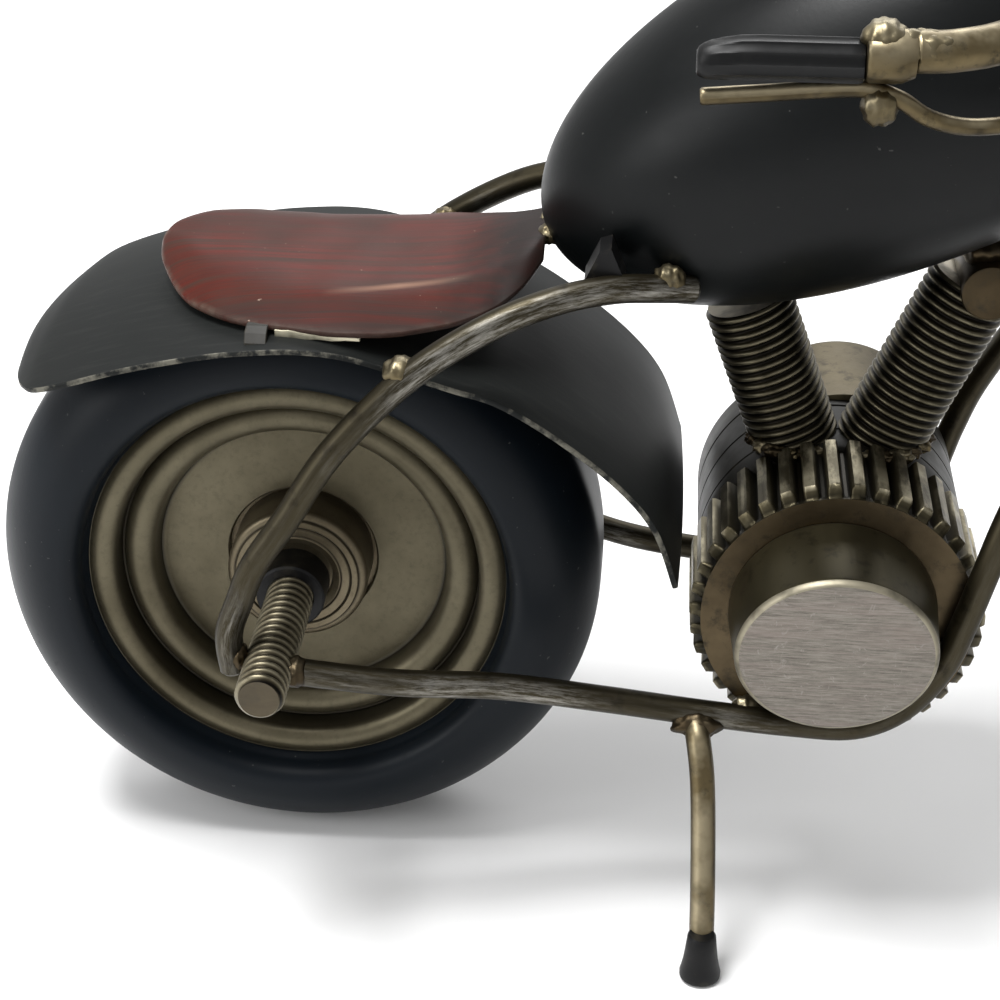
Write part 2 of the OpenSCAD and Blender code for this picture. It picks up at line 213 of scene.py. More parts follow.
def arc_pts(cx, cy, r, a0, a1, n):
    return [(cx + r * math.cos(math.radians(a0 + (a1 - a0) * i / n)), cy + r * math.sin(math.radians(a0 + (a1 - a0) * i / n)))
            for i in range(n + 1)]


def blob(name, c, r, body, material, seed=0, scale=(1, 1, 1), lump=0.22, repl=(), rot=0.0):
    """A weld deposit: a displaced, flattened ball with ripples."""
    bm = bmesh.new()
    bmesh.ops.create_icosphere(bm, subdivisions=4, radius=1.0)
    V = []
    ca, sa = math.cos(rot), math.sin(rot)
    for v in bm.verts:
        p = v.co.copy()
        d = noise.noise(p * 1.7 + Vector((seed * 3.1, seed * 1.7, 5.0))) * lump
        d += noise.noise(p * 4.5 + Vector((seed, 2.0, seed))) * lump * 0.35
        d += 0.03 * math.sin(14 * p.x + seed)
        q = p * (1 + d)
        x, y, z = q.x * scale[0] * r, q.y * scale[1] * r, q.z * scale[2] * r
        V.append((c[0] + ca * x + sa * z, c[1] + y, c[2] - sa * x + ca * z))
    F = [[w.index for w in f.verts] for f in bm.faces]
    bm.free()
    return make(name, V, F, body, material, repl=repl)


def thread_mesh(c0, direction, L, r, pitch, depth, seg=40, per=8, chamfer=1.0, face_slot=True, side=V3(0, 1, 0)):
    """Helical screw thread from c0 along direction, with flat chamfered ends."""
    d = np.array(direction, float)
    d /= np.linalg.norm(d)
    e1 = np.cross(side, d)
    if np.linalg.norm(e1) < 1e-6:
        e1 = np.cross(V3(1, 0, 0), d)
    e1 /= np.linalg.norm(e1)
    e2 = np.cross(d, e1)
    m = max(8, int(L / pitch * per))
    V, F, wear_and_painted_light, flat = [], [], [], []
    for i in range(m + 1):
        h = L * i / m
        lim = r - chamfer + min(h, L - h, chamfer) if chamfer else r
        for k in range(seg):
            th = 2 * math.pi * k / seg
            ph = (h / pitch - k / seg) % 1.0
            tri = 1 - abs(2 * ph - 1)
            crest = min(1.0, max(0.0, (tri - 0.12) / 0.70))
            crest = crest * crest * (3 - 2 * crest)
            rr = min(lim, r - depth + depth * crest)
            V.append(np.array(c0) + h * d + rr * (math.cos(th) * e1 + math.sin(th) * e2))
            wear_and_painted_light.append(crest)
            flat.append((rr * math.cos(th), rr * math.sin(th), h))
    for i in range(m):
        for k in range(seg):
            k2 = (k + 1) % seg
            F.append((i * seg + k, i * seg + k2, (i + 1) * seg + k2, (i + 1) * seg + k))
    nf = len(F)
    for ring, pos, h in ((0, np.array(c0), 0.0), (m * seg, np.array(c0) + L * d, L)):
        rr = r - max(chamfer, depth) - 0.15
        b = len(V)
        for k in range(seg):
            th = 2 * math.pi * k / seg
            V.append(pos + rr * (math.cos(th) * e1 + math.sin(th) * e2))
            wear_and_painted_light.append(0.5)
            flat.append((rr * math.cos(th), rr * math.sin(th), h))
        c = len(V)
        V.append(pos)
        wear_and_painted_light.append(0.5)
        flat.append((0, 0, h))
        for k in range(seg):
            k2 = (k + 1) % seg
            F.append((ring + k, ring + k2, b + k2, b + k))
            F.append((b + k, b + k2, c))
    slots = [0] * nf + [1] * (len(F) - nf)
    return V, F, flat, wear_and_painted_light, slots


# ------------------------------------------------------------------ material helpers
class Mat:
    def __init__(s, name):
        s.m = bpy.data.materials.new(name)
        s.m.use_nodes = True
        s.t = s.m.node_tree
        s.b = s.t.nodes["Principled BSDF"]
        s.tc = s.t.nodes.new("ShaderNodeTexCoord")
        s.geo = None

    def set(s, **kw):
        for k, v in kw.items():
            s.b.inputs[k.replace("_", " ")].default_value = v

    def link(s, a, b):
        s.t.links.new(a, b)

    def obj(s):
        return s.tc.outputs["Object"]

    def attr(s, name, out="Vector"):
        a = s.t.nodes.new("ShaderNodeAttribute")
        a.attribute_name = name
        return a.outputs[out]

    def map(s, vec, scale=(1, 1, 1), loc=(0, 0, 0)):
        n = s.t.nodes.new("ShaderNodeMapping")
        n.inputs["Scale"].default_value = scale
        n.inputs["Location"].default_value = loc
        s.link(vec, n.inputs["Vector"])
        return n.outputs["Vector"]

    def noise(s, vec, scale, detail=4.0, rough=0.55, dist=0.0):
        n = s.t.nodes.new("ShaderNodeTexNoise")
        n.inputs["Scale"].default_value = scale
        n.inputs["Detail"].default_value = detail
        n.inputs["Roughness"].default_value = rough
        n.inputs["Distortion"].default_value = dist
        s.link(vec, n.inputs["Vector"])
        return n.outputs["Fac"]

    def voronoi(s, vec, scale, feature="F1"):
        n = s.t.nodes.new("ShaderNodeTexVoronoi")
        n.feature = feature
        n.inputs["Scale"].default_value = scale
        s.link(vec, n.inputs["Vector"])
        return n.outputs["Distance"]

    def ramp(s, fac, stops, interp="LINEAR"):
        n = s.t.nodes.new("ShaderNodeValToRGB")
        n.color_ramp.interpolation = interp
        el = n.color_ramp.elements
        while len(el) < len(stops):
            el.new(0.5)
        for e, (p, c) in zip(el, stops):
            e.position = p
            e.color = (c, c, c, 1) if np.isscalar(c) else (*c, 1)
        s.link(fac, n.inputs["Fac"])
        return n.outputs["Color"]

    def mix(s, fac, a, b, blend="MIX"):
        n = s.t.nodes.new("ShaderNodeMix")
        n.data_type = "RGBA"
        n.blend_type = blend
        for key, val in ((0, fac), (6, a), (7, b)):
            if isinstance(val, (int, float)):
                if key == 0:
                    n.inputs[key].default_value = val
                else:
                    n.inputs[key].default_value = (val, val, val, 1)
            elif isinstance(val, tuple):
                n.inputs[key].default_value = (*val, 1)
            else:
                s.link(val, n.inputs[key])
        return n.outputs[2]

    def math(s, op, a, b=0.0, clamp=False):
        n = s.t.nodes.new("ShaderNodeMath")
        n.operation = op
        n.use_clamp = clamp
        for i, val in enumerate((a, b)):
            if isinstance(val, (int, float)):
                n.inputs[i].default_value = val
            else:
                s.link(val, n.inputs[i])
        return n.outputs[0]

    def updot(s, d):
        """How far the surface faces direction d, 0 to 1, in the object's own frame."""
        g = s.tc.outputs["Normal"]
        n = s.t.nodes.new("ShaderNodeVectorMath")
        n.operation = "DOT_PRODUCT"
        d = np.array(d, float)
        d /= np.linalg.norm(d)
        n.inputs[1].default_value = d
        s.link(g, n.inputs[0])
        return n.outputs["Value"]

    def radius(s, centre, axis=(1, 0, 1)):
        """Distance from a line through centre, in metres, for turned parts."""
        a = s.t.nodes.new("ShaderNodeVectorMath")
        a.operation = "SUBTRACT"
        a.inputs[1].default_value = tuple(centre)
        s.link(s.obj(), a.inputs[0])
        b = s.t.nodes.new("ShaderNodeVectorMath")
        b.operation = "MULTIPLY"
        b.inputs[1].default_value = axis
        s.link(a.outputs[0], b.inputs[0])
        c = s.t.nodes.new("ShaderNodeVectorMath")
        c.operation = "LENGTH"
        s.link(b.outputs[0], c.inputs[0])
        return c.outputs["Value"], b.outputs[0]

    def bump(s, h, dist, strength=1.0, prev=None):
        n = s.t.nodes.new("ShaderNodeBump")
        n.inputs["Strength"].default_value = strength
        n.inputs["Distance"].default_value = dist
        s.link(h, n.inputs["Height"])
        if prev is not None:
            s.link(prev, n.inputs["Normal"])
        return n.outputs["Normal"]

    def out(s, color=None, rough=None, metal=None, normal=None):
        for v, k in ((color, "Base Color"), (rough, "Roughness"), (metal, "Metallic"), (normal, "Normal")):
            if v is not None:
                s.link(v, s.b.inputs[k])
        return s.m


def m_tyre():
    s = Mat("tyre_paint")
    s.set(Specular_IOR_Level=0.16)
    big = s.noise(s.obj(), 38, 3, 0.5)
    fine = s.noise(s.obj(), 900, 3, 0.6)
    col = s.mix(big, (0.0012, 0.0026, 0.0045), (0.0030, 0.0058, 0.0090))
    dust = s.ramp(s.noise(s.obj(), 900, 2, 0.5), [(0.745, 0.0), (0.775, 1.0)])
    col = s.mix(s.math("MULTIPLY", dust, 0.30), col, (0.16, 0.16, 0.15))
    sc = s.ramp(s.noise(s.map(s.obj(), (1, 0.15, 1)), 260, 4, 0.6), [(0.66, 0.0), (0.78, 1.0)])
    rough = s.math("ADD", s.math("MULTIPLY", big, 0.22), 0.34)
    rough = s.math("ADD", rough, s.math("MULTIPLY", sc, 0.15))
    return s.out(col, rough, None, s.bump(fine, 0.00004, 0.5))


def turned(name, centre, base, dark, wear_and_highlight, metal=0.75, r0=0.40, grooves=()):
    """Satin turned sheet: fine rings, painted shade in the grooves, rubbed highlights."""
    s = Mat(name)
    rad, vec = s.radius(centre)
    ringv = s.t.nodes.new("ShaderNodeCombineXYZ")
    s.link(rad, ringv.inputs[0])
    rings = s.noise(ringv.outputs[0], 2600, 3, 0.7)
    cloud = s.noise(s.obj(), 55, 5, 0.6)
    spot = s.noise(s.obj(), 700, 5, 0.75)
    col = s.mix(s.ramp(cloud, [(0.35, 0.0), (0.68, 1.0)]), base, wear_and_highlight)
    col = s.mix(s.math("MULTIPLY", s.ramp(spot, [(0.50, 0.0), (0.80, 1.0)]), 0.45), col, dark)
    # painted shade: the surface is darkened at the groove radii
    if grooves:
        stops = []
        for g, w in grooves:
            stops += [(max(0, (g - w) / 50), 0.0), (g / 50, 1.0), ((g + w) / 50, 0.0)]
        stops = sorted(stops)
        groove_shade = s.ramp(s.math("MULTIPLY", rad, 20.0), stops)
        col = s.mix(s.math("MULTIPLY", groove_shade, 0.92), col, tuple(0.25 * c for c in dark))
    col = s.mix(s.math("MULTIPLY", s.math("SUBTRACT", rings, 0.5), 0.5), col, wear_and_highlight, "MIX")
    s.set(Metallic=metal, Anisotropic=0.35)
    rough = s.math("ADD", s.math("MULTIPLY", cloud, 0.16), r0 - 0.08)
    rough = s.math("ADD", rough, s.math("MULTIPLY", s.math("SUBTRACT", rings, 0.5), 0.12))
    return s.out(col, rough, None, s.bump(rings, 0.00002, 0.45))


def m_bar(name="bar_bronze", base=(0.030, 0.025, 0.0145), wear_and_highlight=(0.40, 0.385, 0.35), dark=(0.009, 0.007, 0.0045), amount=0.95,
          highlight_dir=(0.40, -0.80, 0.10), metal=0.9):
    """Bronzed round bar with brushed streaks along its length, and a painted highlight on the side facing the given
    direction, broken up by the streaks.
    """
    s = Mat(name)
    f = s.attr("flat")
    streak = s.noise(s.map(f, (1, 1, 0.10)), 1300, 5, 0.8)
    long_ = s.noise(s.map(f, (1, 1, 0.25)), 90, 3, 0.5)
    patch = s.noise(s.obj(), 24, 2, 0.5)
    # painted highlight: faces turned towards the given direction take the pale colour in brushed streaks and patches
    lit_side = s.ramp(s.updot(highlight_dir), [(0.30, 0.0), (0.75, 1.0)])
    w = s.math("MULTIPLY", s.ramp(streak, [(0.43, 0.0), (0.72, 0.8)]), s.math("MULTIPLY", lit_side, s.ramp(patch, [(0.44, 0.06), (0.58, 1.0)])))
    w = s.math("MULTIPLY", w, amount, clamp=True)
    col = s.mix(s.ramp(long_, [(0.35, 0.0), (0.7, 1.0)]), base, tuple(1.7 * c for c in base))
    col = s.mix(s.ramp(s.noise(s.obj(), 240, 4, 0.6), [(0.56, 0.0), (0.72, 0.75)]), col, dark)
    col = s.mix(w, col, wear_and_highlight)
    s.set(Metallic=metal)
    rough = s.math("ADD", 0.33, s.math("MULTIPLY", long_, 0.2))
    rough = s.math("SUBTRACT", rough, s.math("MULTIPLY", w, 0.08))
    return s.out(col, rough, None, s.bump(streak, 0.00004, 0.5))


def m_thread(name, base, crest, dark=(0.006, 0.005, 0.004)):
    s = Mat(name)
    w = s.attr("wear_and_painted_light", "Fac")
    n = s.noise(s.obj(), 260, 4, 0.6)
    # painted shade in the thread roots, painted highlight on the crests in noise patches
    k = s.math("MULTIPLY", s.ramp(w, [(0.45, 0.0), (0.98, 1.0)]), s.ramp(n, [(0.33, 0.25), (0.62, 1.0)]))
    col = s.mix(s.ramp(w, [(0.0, 0.0), (0.6, 1.0)]), dark, base)
    col = s.mix(k, col, crest)
    s.set(Metallic=0.9)
    rough = s.math("ADD", 0.30, s.math("MULTIPLY", n, 0.22))
    return s.out(col, rough, None, s.bump(n, 0.00006, 0.4))


def m_cut(name="cut_face", a=(0.30, 0.28, 0.24), b=(0.13, 0.12, 0.095)):
    """Sawn and filed end face."""
    s = Mat(name)
    n = s.noise(s.map(s.obj(), (0.25, 1, 1)), 700, 5, 0.7)
    c = s.noise(s.obj(), 150, 3, 0.6)
    col = s.mix(s.math("MULTIPLY", n, c), a, b)
    col = s.mix(s.ramp(c, [(0.5, 0.0), (0.75, 0.8)]), col, (0.05, 0.045, 0.035))
    s.set(Metallic=0.85)
    return s.out(col, s.math("ADD", 0.36, s.math("MULTIPLY", n, 0.2)), None, s.bump(n, 0.00008, 0.6))


def m_sheet(name="mudguard_sheet"):
    """Charcoal satin sheet, bare bright metal at the cut edges."""
    s = Mat(name)
    cloud = s.noise(s.obj(), 26, 4, 0.55)
    grain = s.noise(s.attr("flat"), 1500, 4, 0.7)
    brush = s.noise(s.map(s.attr("flat"), (0.12, 1, 1)), 700, 4, 0.7)
    col = s.mix(cloud, (0.0060, 0.0068, 0.0066), (0.0120, 0.0132, 0.0126))
    col = s.mix(s.math("MULTIPLY", s.ramp(brush, [(0.5, 0.0), (0.8, 1.0)]), 0.30), col, (0.035, 0.036, 0.033))
    edge = s.ramp(s.attr("wear_and_painted_light", "Fac"), [(0.93, 0.0), (1.0, 0.85)])
    chip = s.ramp(s.noise(s.obj(), 240, 4, 0.7), [(0.44, 0.0), (0.62, 0.75)])
    e = s.math("MULTIPLY", edge, chip)
    s.set(Specular_IOR_Level=0.11)
    col = s.mix(e, col, (0.20, 0.19, 0.155))
    rough = s.math("ADD", 0.42, s.math("MULTIPLY", cloud, 0.16))
    return s.out(col, rough, s.math("MULTIPLY", e, 0.8), s.bump(grain, 0.00003, 0.5))


def m_seat():
    """Oxblood paint brushed on lengthwise, thin over the metal at its edges, with painted shade on the near downturned
    edge and a painted highlight along the near ridge.
    """
    s = Mat("seat_paint")
    f = s.attr("flat")
    long_ = s.noise(s.map(f, (0.035, 1, 1)), 420, 5, 0.7)
    fine = s.noise(s.map(f, (0.02, 1, 1)), 1500, 4, 0.7)
    cloud = s.noise(s.obj(), 42, 3, 0.5)
    col = s.mix(s.ramp(cloud, [(0.36, 0.0), (0.64, 1.0)]), (0.080, 0.0098, 0.0052), (0.036, 0.0092, 0.0056))
    col = s.mix(s.ramp(long_, [(0.42, 0.0), (0.62, 1.0)]), col, (0.040, 0.0165, 0.0110))
    col = s.mix(s.math("MULTIPLY", s.ramp(fine, [(0.52, 0.0), (0.70, 1.0)]), 0.55), col, (0.026, 0.012, 0.010))
    edge = s.ramp(s.attr("wear_and_painted_light", "Fac"), [(0.55, 0.0), (0.97, 1.0)])
    chip = s.ramp(s.noise(s.obj(), 300, 4, 0.7), [(0.36, 0.0), (0.60, 1.0)])
    col = s.mix(s.math("MULTIPLY", edge, chip), col, (0.075, 0.048, 0.036))
    sx = s.t.nodes.new("ShaderNodeSeparateXYZ")
    s.link(s.obj(), sx.inputs[0])
    far = s.math("MULTIPLY", s.math("SUBTRACT", sx.outputs[0], float(O[0] + 0.027)), 75.0)
    far = s.math("ADD", far, s.math("MULTIPLY", s.math("SUBTRACT", s.noise(s.obj(), 260, 4, 0.6), 0.5), 0.9), clamp=True)
    col = s.mix(s.math("MULTIPLY", far, 0.9), col, (0.0085, 0.0065, 0.0058))
    # painted shade on the near, downturned edge, in lengthwise streaks
    near_edge_shade = s.math("MULTIPLY", s.math("SUBTRACT", float(O[1] - 0.0225), sx.outputs[1]), 260.0, clamp=True)
    col = s.mix(s.math("MULTIPLY", near_edge_shade, s.math("MULTIPLY", s.ramp(long_, [(0.35, 0.25), (0.6, 1.0)]), 0.7)), col, (0.022, 0.0125, 0.0105))
    nick = s.ramp(s.noise(s.obj(), 900, 2, 0.5), [(0.755, 0.0), (0.78, 1.0)])
    col = s.mix(s.math("MULTIPLY", nick, 0.7), col, (0.30, 0.22, 0.17))
    # painted highlight: a bright streak along the ridge inside the near edge, limited to part of the seat's length
    streak = s.math("SUBTRACT", sx.outputs[1], float(O[1] - 0.0205))
    streak = s.math("SUBTRACT", streak, s.math("MULTIPLY", s.math("SUBTRACT", sx.outputs[0], float(O[0] + 0.016)), 0.22))
    streak = s.math("ADD", streak, s.math("MULTIPLY", s.math("SUBTRACT", long_, 0.5), 0.0012))
    streak = s.ramp(s.math("MULTIPLY", s.math("ABSOLUTE", streak), 500.0), [(0.12, 1.0), (0.75, 0.0)])
    win = s.math("SUBTRACT", 1.0, s.math("MULTIPLY", s.math("ABSOLUTE", s.math("SUBTRACT", sx.outputs[0], float(O[0] + 0.021))), 75.0), clamp=True)
    col = s.mix(s.math("MULTIPLY", s.math("MULTIPLY", streak, win), 0.75), col, (0.24, 0.130, 0.085))
    s.set(Specular_IOR_Level=0.11)
    rough = s.math("ADD", 0.36, s.math("MULTIPLY", long_, 0.16))
    return s.out(col, rough, None, s.bump(fine, 0.00006, 0.45, s.bump(long_, 0.0001, 0.35)))


def m_enamel(name="tank_enamel", a=(0.0010, 0.0014, 0.0016), b=(0.0030, 0.0038, 0.0040), rough0=0.28):
    """Black enamel, softly polished, with dust and faint rub marks."""
    s = Mat(name)
    cloud = s.noise(s.obj(), 22, 4, 0.6)
    rub = s.noise(s.map(s.obj(), (0.3, 1, 1)), 160, 5, 0.7)
    fine = s.noise(s.obj(), 1200, 3, 0.6)
    col = s.mix(s.ramp(cloud, [(0.35, 0.0), (0.7, 1.0)]), a, b)
    dust = s.ramp(s.noise(s.obj(), 900, 1, 0.5), [(0.775, 0.0), (0.80, 1.0)])
    col = s.mix(s.math("MULTIPLY", dust, 0.25), col, (0.13, 0.13, 0.12))
    s.set(Specular_IOR_Level=0.17)
    rough = s.math("ADD", rough0, s.math("MULTIPLY", rub, 0.20))
    return s.out(col, rough, None, s.bump(fine, 0.00003, 0.4))


def m_brushed(name="brushed_face", a=(0.285, 0.262, 0.230), b=(0.105, 0.094, 0.079)):
    """Steel face filed side to side."""
    s = Mat(name)
    line = s.noise(s.map(s.obj(), (0.07, 1, 1)), 2400, 6, 0.82)
    wide = s.noise(s.map(s.obj(), (0.12, 1, 1)), 240, 4, 0.65, 0.6)
    blot = s.noise(s.obj(), 90, 3, 0.6)
    col = s.mix(s.ramp(line, [(0.36, 0.0), (0.66, 1.0)]), b, a)
    col = s.mix(s.ramp(wide, [(0.46, 0.0), (0.70, 0.6)]), col, (0.24, 0.20, 0.18))
    col = s.mix(s.ramp(blot, [(0.62, 0.0), (0.78, 0.5)]), col, (0.16, 0.13, 0.11))
    diag = s.noise(s.map(s.obj(), (0.6, 1, 0.25)), 900, 4, 0.8, 1.2)
    col = s.mix(s.ramp(diag, [(0.60, 0.0), (0.72, 0.55)]), col, (0.36, 0.34, 0.31))
    s.set(Metallic=0.92)
    rough = s.math("ADD", 0.40, s.math("MULTIPLY", line, 0.22))
    return s.out(col, rough, None, s.bump(line, 0.00012, 0.55))


def m_brass(name="brass_aged", a=(0.135, 0.104, 0.054), b=(0.040, 0.031, 0.017), wear_and_highlight=(0.55, 0.47, 0.31), amount=1.0):
    s = Mat(name)
    cloud = s.noise(s.obj(), 75, 4, 0.6)
    grime = s.noise(s.obj(), 330, 5, 0.7)
    fine = s.noise(s.obj(), 1500, 3, 0.6)
    # painted highlight: up-facing surfaces take the pale colour in cloud patches, partly rubbed wear
    lit_side = s.ramp(s.updot((-0.2, -0.4, 0.9)), [(0.30, 0.0), (0.95, 1.0)])
    col = s.mix(s.ramp(cloud, [(0.36, 0.0), (0.66, 1.0)]), a, b)
    col = s.mix(s.ramp(grime, [(0.54, 0.0), (0.70, 0.85)]), col, (0.03, 0.026, 0.018))
    w = s.math("MULTIPLY", s.math("MULTIPLY", lit_side, s.ramp(cloud, [(0.42, 0.0), (0.60, 1.0)])), 0.8 * amount, clamp=True)
    col = s.mix(w, col, wear_and_highlight)
    s.set(Metallic=0.95)
    rough = s.math("ADD", 0.26, s.math("MULTIPLY", grime, 0.26))
    return s.out(col, rough, None, s.bump(fine, 0.00005, 0.4, s.bump(grime, 0.0001, 0.3)))


def m_black(name="black_satin", c=(0.0022, 0.0022, 0.0024), rough0=0.34, wear_and_highlight=(0.030, 0.026, 0.018)):
    s = Mat(name)
    n = s.noise(s.obj(), 300, 4, 0.6)
    col = s.mix(s.ramp(n, [(0.55, 0.0), (0.74, 0.7)]), c, wear_and_highlight)
    s.set(Specular_IOR_Level=0.22)
    return s.out(col, s.math("ADD", rough0, s.math("MULTIPLY", n, 0.25)), None, s.bump(n, 0.00008, 0.4))


def m_gear():
    s = Mat("gear_brass")
    w = s.attr("wear_and_painted_light", "Fac")
    n = s.noise(s.map(s.obj(), (1, 0.35, 1)), 300, 5, 0.7)
    c = s.noise(s.obj(), 70, 3, 0.5)
    # painted shade in the grooves between the teeth
    col = s.mix(s.ramp(w, [(0.10, 0.0), (0.8, 1.0)]), (0.016, 0.0135, 0.008), (0.072, 0.061, 0.035))
    # painted highlight: glints on the tooth tops, in noise patches
    k = s.math("MULTIPLY", s.ramp(w, [(0.6, 0.0), (1.0, 1.0)]), s.ramp(n, [(0.40, 0.0), (0.60, 1.0)]))
    k = s.math("MULTIPLY", k, s.ramp(c, [(0.40, 0.1), (0.62, 1.0)]))
    col = s.mix(k, col, (0.50, 0.45, 0.32))
    s.set(Metallic=0.9)
    return s.out(col, s.math("ADD", 0.27, s.math("MULTIPLY", n, 0.25)), None, s.bump(n, 0.0001, 0.45))


PEW = dict(base=(0.074, 0.063, 0.037), dark=(0.030, 0.024, 0.013), wear_and_highlight=(0.120, 0.104, 0.066))
MT = {}
MT["tyre"] = m_tyre()
MT["rim_r"] = turned("rim_pewter", O, metal=0.72, r0=0.42, grooves=((27.7, 0.7), (34.7, 0.9), (40.7, 0.9)), **PEW)
MT["rim_f"] = turned("rim_pewter_front", O + WH * 0.001, metal=0.72, r0=0.42, grooves=((27.7, 0.7), (34.7, 0.9), (40.7, 0.9)), **PEW)
HUB = dict(base=(0.080, 0.062, 0.036), dark=(0.025, 0.019, 0.011), wear_and_highlight=(0.15, 0.125, 0.080))
MT["hub_r"] = turned("hub_pewter", O, metal=0.75, r0=0.38, grooves=((8.6, 0.3), (10.4, 0.35), (12.0, 0.35)), **HUB)
MT["hub_f"] = turned("hub_pewter_front", O + WH * 0.001, metal=0.75, r0=0.38, grooves=((8.6, 0.3), (10.4, 0.35), (12.0, 0.35)), **HUB)
MT["bar"] = m_bar()
MT["fork"] = m_bar("fork_bronze", amount=0.8, highlight_dir=(0.3, -0.4, 0.87))
MT["axle"] = m_thread("axle_thread", (0.060, 0.050, 0.030), (0.24, 0.215, 0.15), (0.004, 0.003, 0.002))
MT["cyl"] = m_thread("cylinder_thread", (0.038, 0.032, 0.019), (0.16, 0.142, 0.095), (0.004, 0.003, 0.002))
MT["cut"] = m_cut(a=(0.085, 0.070, 0.047), b=(0.036, 0.029, 0.019))
# painted light: very pale top faces for the screwed cylinders, so they look lit where the tank shades them
MT["topface"] = m_cut("cylinder_top_painted_lit", (0.85, 0.79, 0.66), (0.48, 0.43, 0.34))
MT["cream"] = m_cut("bare_metal_cream", (0.62, 0.58, 0.44), (0.42, 0.38, 0.27))
# painted highlight for the rounded rims of the engine covers
MT["rimlight"] = m_cut("rim_painted_highlight", (0.34, 0.31, 0.23), (0.17, 0.15, 0.105))
MT["cutpale"] = m_cut("cut_face_pale", (0.42, 0.40, 0.35), (0.25, 0.235, 0.20))
MT["sheet"] = m_sheet()
MT["seat"] = m_seat()
MT["tank"] = m_enamel()
MT["lamp"] = m_enamel("lamp_enamel", rough0=0.26)
MT["face"] = m_brushed()
MT["drum"] = m_bar("drum_bronze", base=(0.050, 0.043, 0.024), amount=0.0)
MT["brass"] = m_brass()
MT["weld"] = m_brass("weld_bead", (0.15, 0.120, 0.066), (0.055, 0.044, 0.025), (0.42, 0.37, 0.25), 0.7)
MT["rust"] = m_brass("heat_tint", (0.055, 0.040, 0.022), (0.022, 0.016, 0.009), (0.15, 0.12, 0.075), 0.6)
MT["tan"] = m_brass("tan_drum", (0.105, 0.086, 0.050), (0.070, 0.057, 0.033), (0.15, 0.125, 0.08), 0.3)
MT["washer"] = m_brass("tan_washer", (0.088, 0.066, 0.038), (0.046, 0.034, 0.019), (0.13, 0.10, 0.06), 0.4)
MT["black"] = m_black()
MT["grip"] = m_black("grip_satin", (0.0020, 0.0022, 0.0024), 0.28, (0.008, 0.008, 0.008))
MT["gear"] = m_gear()
MT["barrel"] = m_black("barrel_dark", (0.014, 0.0125, 0.009), 0.36, (0.050, 0.043, 0.028))

# ------------------------------------------------------------------ wheels
def tyre_profile():
    rc, sr, hw = 44.0, 15.2, 20.0
    p = []
    for i in range(61):
        t = math.radians(-90 + 3 * i)
        r = rc + sr * math.cos(t)
        # ease into the flat tread band
        lim = TYRE_R
        k = 0.45
        r = r if r < lim - k else lim - k * math.exp(-(r - (lim - k)) / k)
        p.append((min(r, lim), hw * math.sin(t)))
    p += [(43.0, 19.75), (42.0, 19.0), (41.35, 17.8), (41.0, 16.3), (40.95, 14.9), (40.2, 14.2), (40.2, 0), (40.2, -14.2), (40.95, -14.9),
          (41.0, -16.3), (41.35, -17.8), (42.0, -19.0), (43.0, -19.75)]
    return p


def rim_profile(s):
    f = [(14.4, 3.4), (14.4, 4.9), (14.75, 5.3), (26.9, 5.3), (27.35, 5.15), (27.75, 5.3), (28.0, 6.1)]
    f += arc_pts(31.35, 7.6, 3.05, 165, 22, 14)
    f += [(34.45, 8.45), (34.7, 8.6), (34.85, 9.2)]
    f += arc_pts(37.75, 12.0, 2.85, 172, 35, 14)
    f += [(40.35, 13.75), (40.7, 13.95), (40.9, 14.1), (40.9, 11.5), (36, 8.5), (29, 3.4)]
    return [(r, s * h) for r, h in f]


def hub_profile(front):
    b = 4.56
    half = [(b, 12.6), (b + 0.5, 13.3)]
    # washers stacked on the hub face: shallow steps and grooves
    half = [(b, 12.4), (6.7, 12.4), (6.95, 13.3), (8.2, 13.95), (8.5, 13.75), (8.7, 13.95), (10.1, 14.0), (10.4, 13.7), (10.65, 13.95),
            (11.7, 13.9), (12.0, 13.5), (12.3, 13.55), (13.0, 13.2), (13.45, 12.6), (13.5, 11.9), (13.5, 3.35), (26, 3.35)]
    return half + [(r, -h) for r, h in reversed(half)]


for tag, c, bodyname in (("rear", V3(0, 0, 0), "rear_wheel"), ("front", WH, "front_wheel")):
    k = tag[0]
    v, f, fl = revolve_mesh(tyre_profile(), 192, True, c)
    make(tag + "_tyre_skin", v, f, bodyname, MT["tyre"], (tag + "_tyre",), fl, split=50)
    for sd, sg in (("right", -1), ("left", 1)):
        v, f, fl = revolve_mesh(rim_profile(sg), 192, True, c)
        make("%s_rim_%s_spun" % (tag, sd), v, f, bodyname, MT["rim_" + k], ("%s_rim_%s" % (tag, sd),), fl, split=40)
    v, f, fl = revolve_mesh(hub_profile(tag), 128, True, c)
    make(tag + "_hub_turned", v, f, bodyname, MT["hub_" + k], (tag + "_hub",), fl, split=40)

# ------------------------------------------------------------------ axles and sleeves
AX_HALF = (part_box("rear_axle")[1].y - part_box("rear_axle")[0].y) * 500
FX_HALF = (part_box("front_axle")[1].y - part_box("front_axle")[0].y) * 500


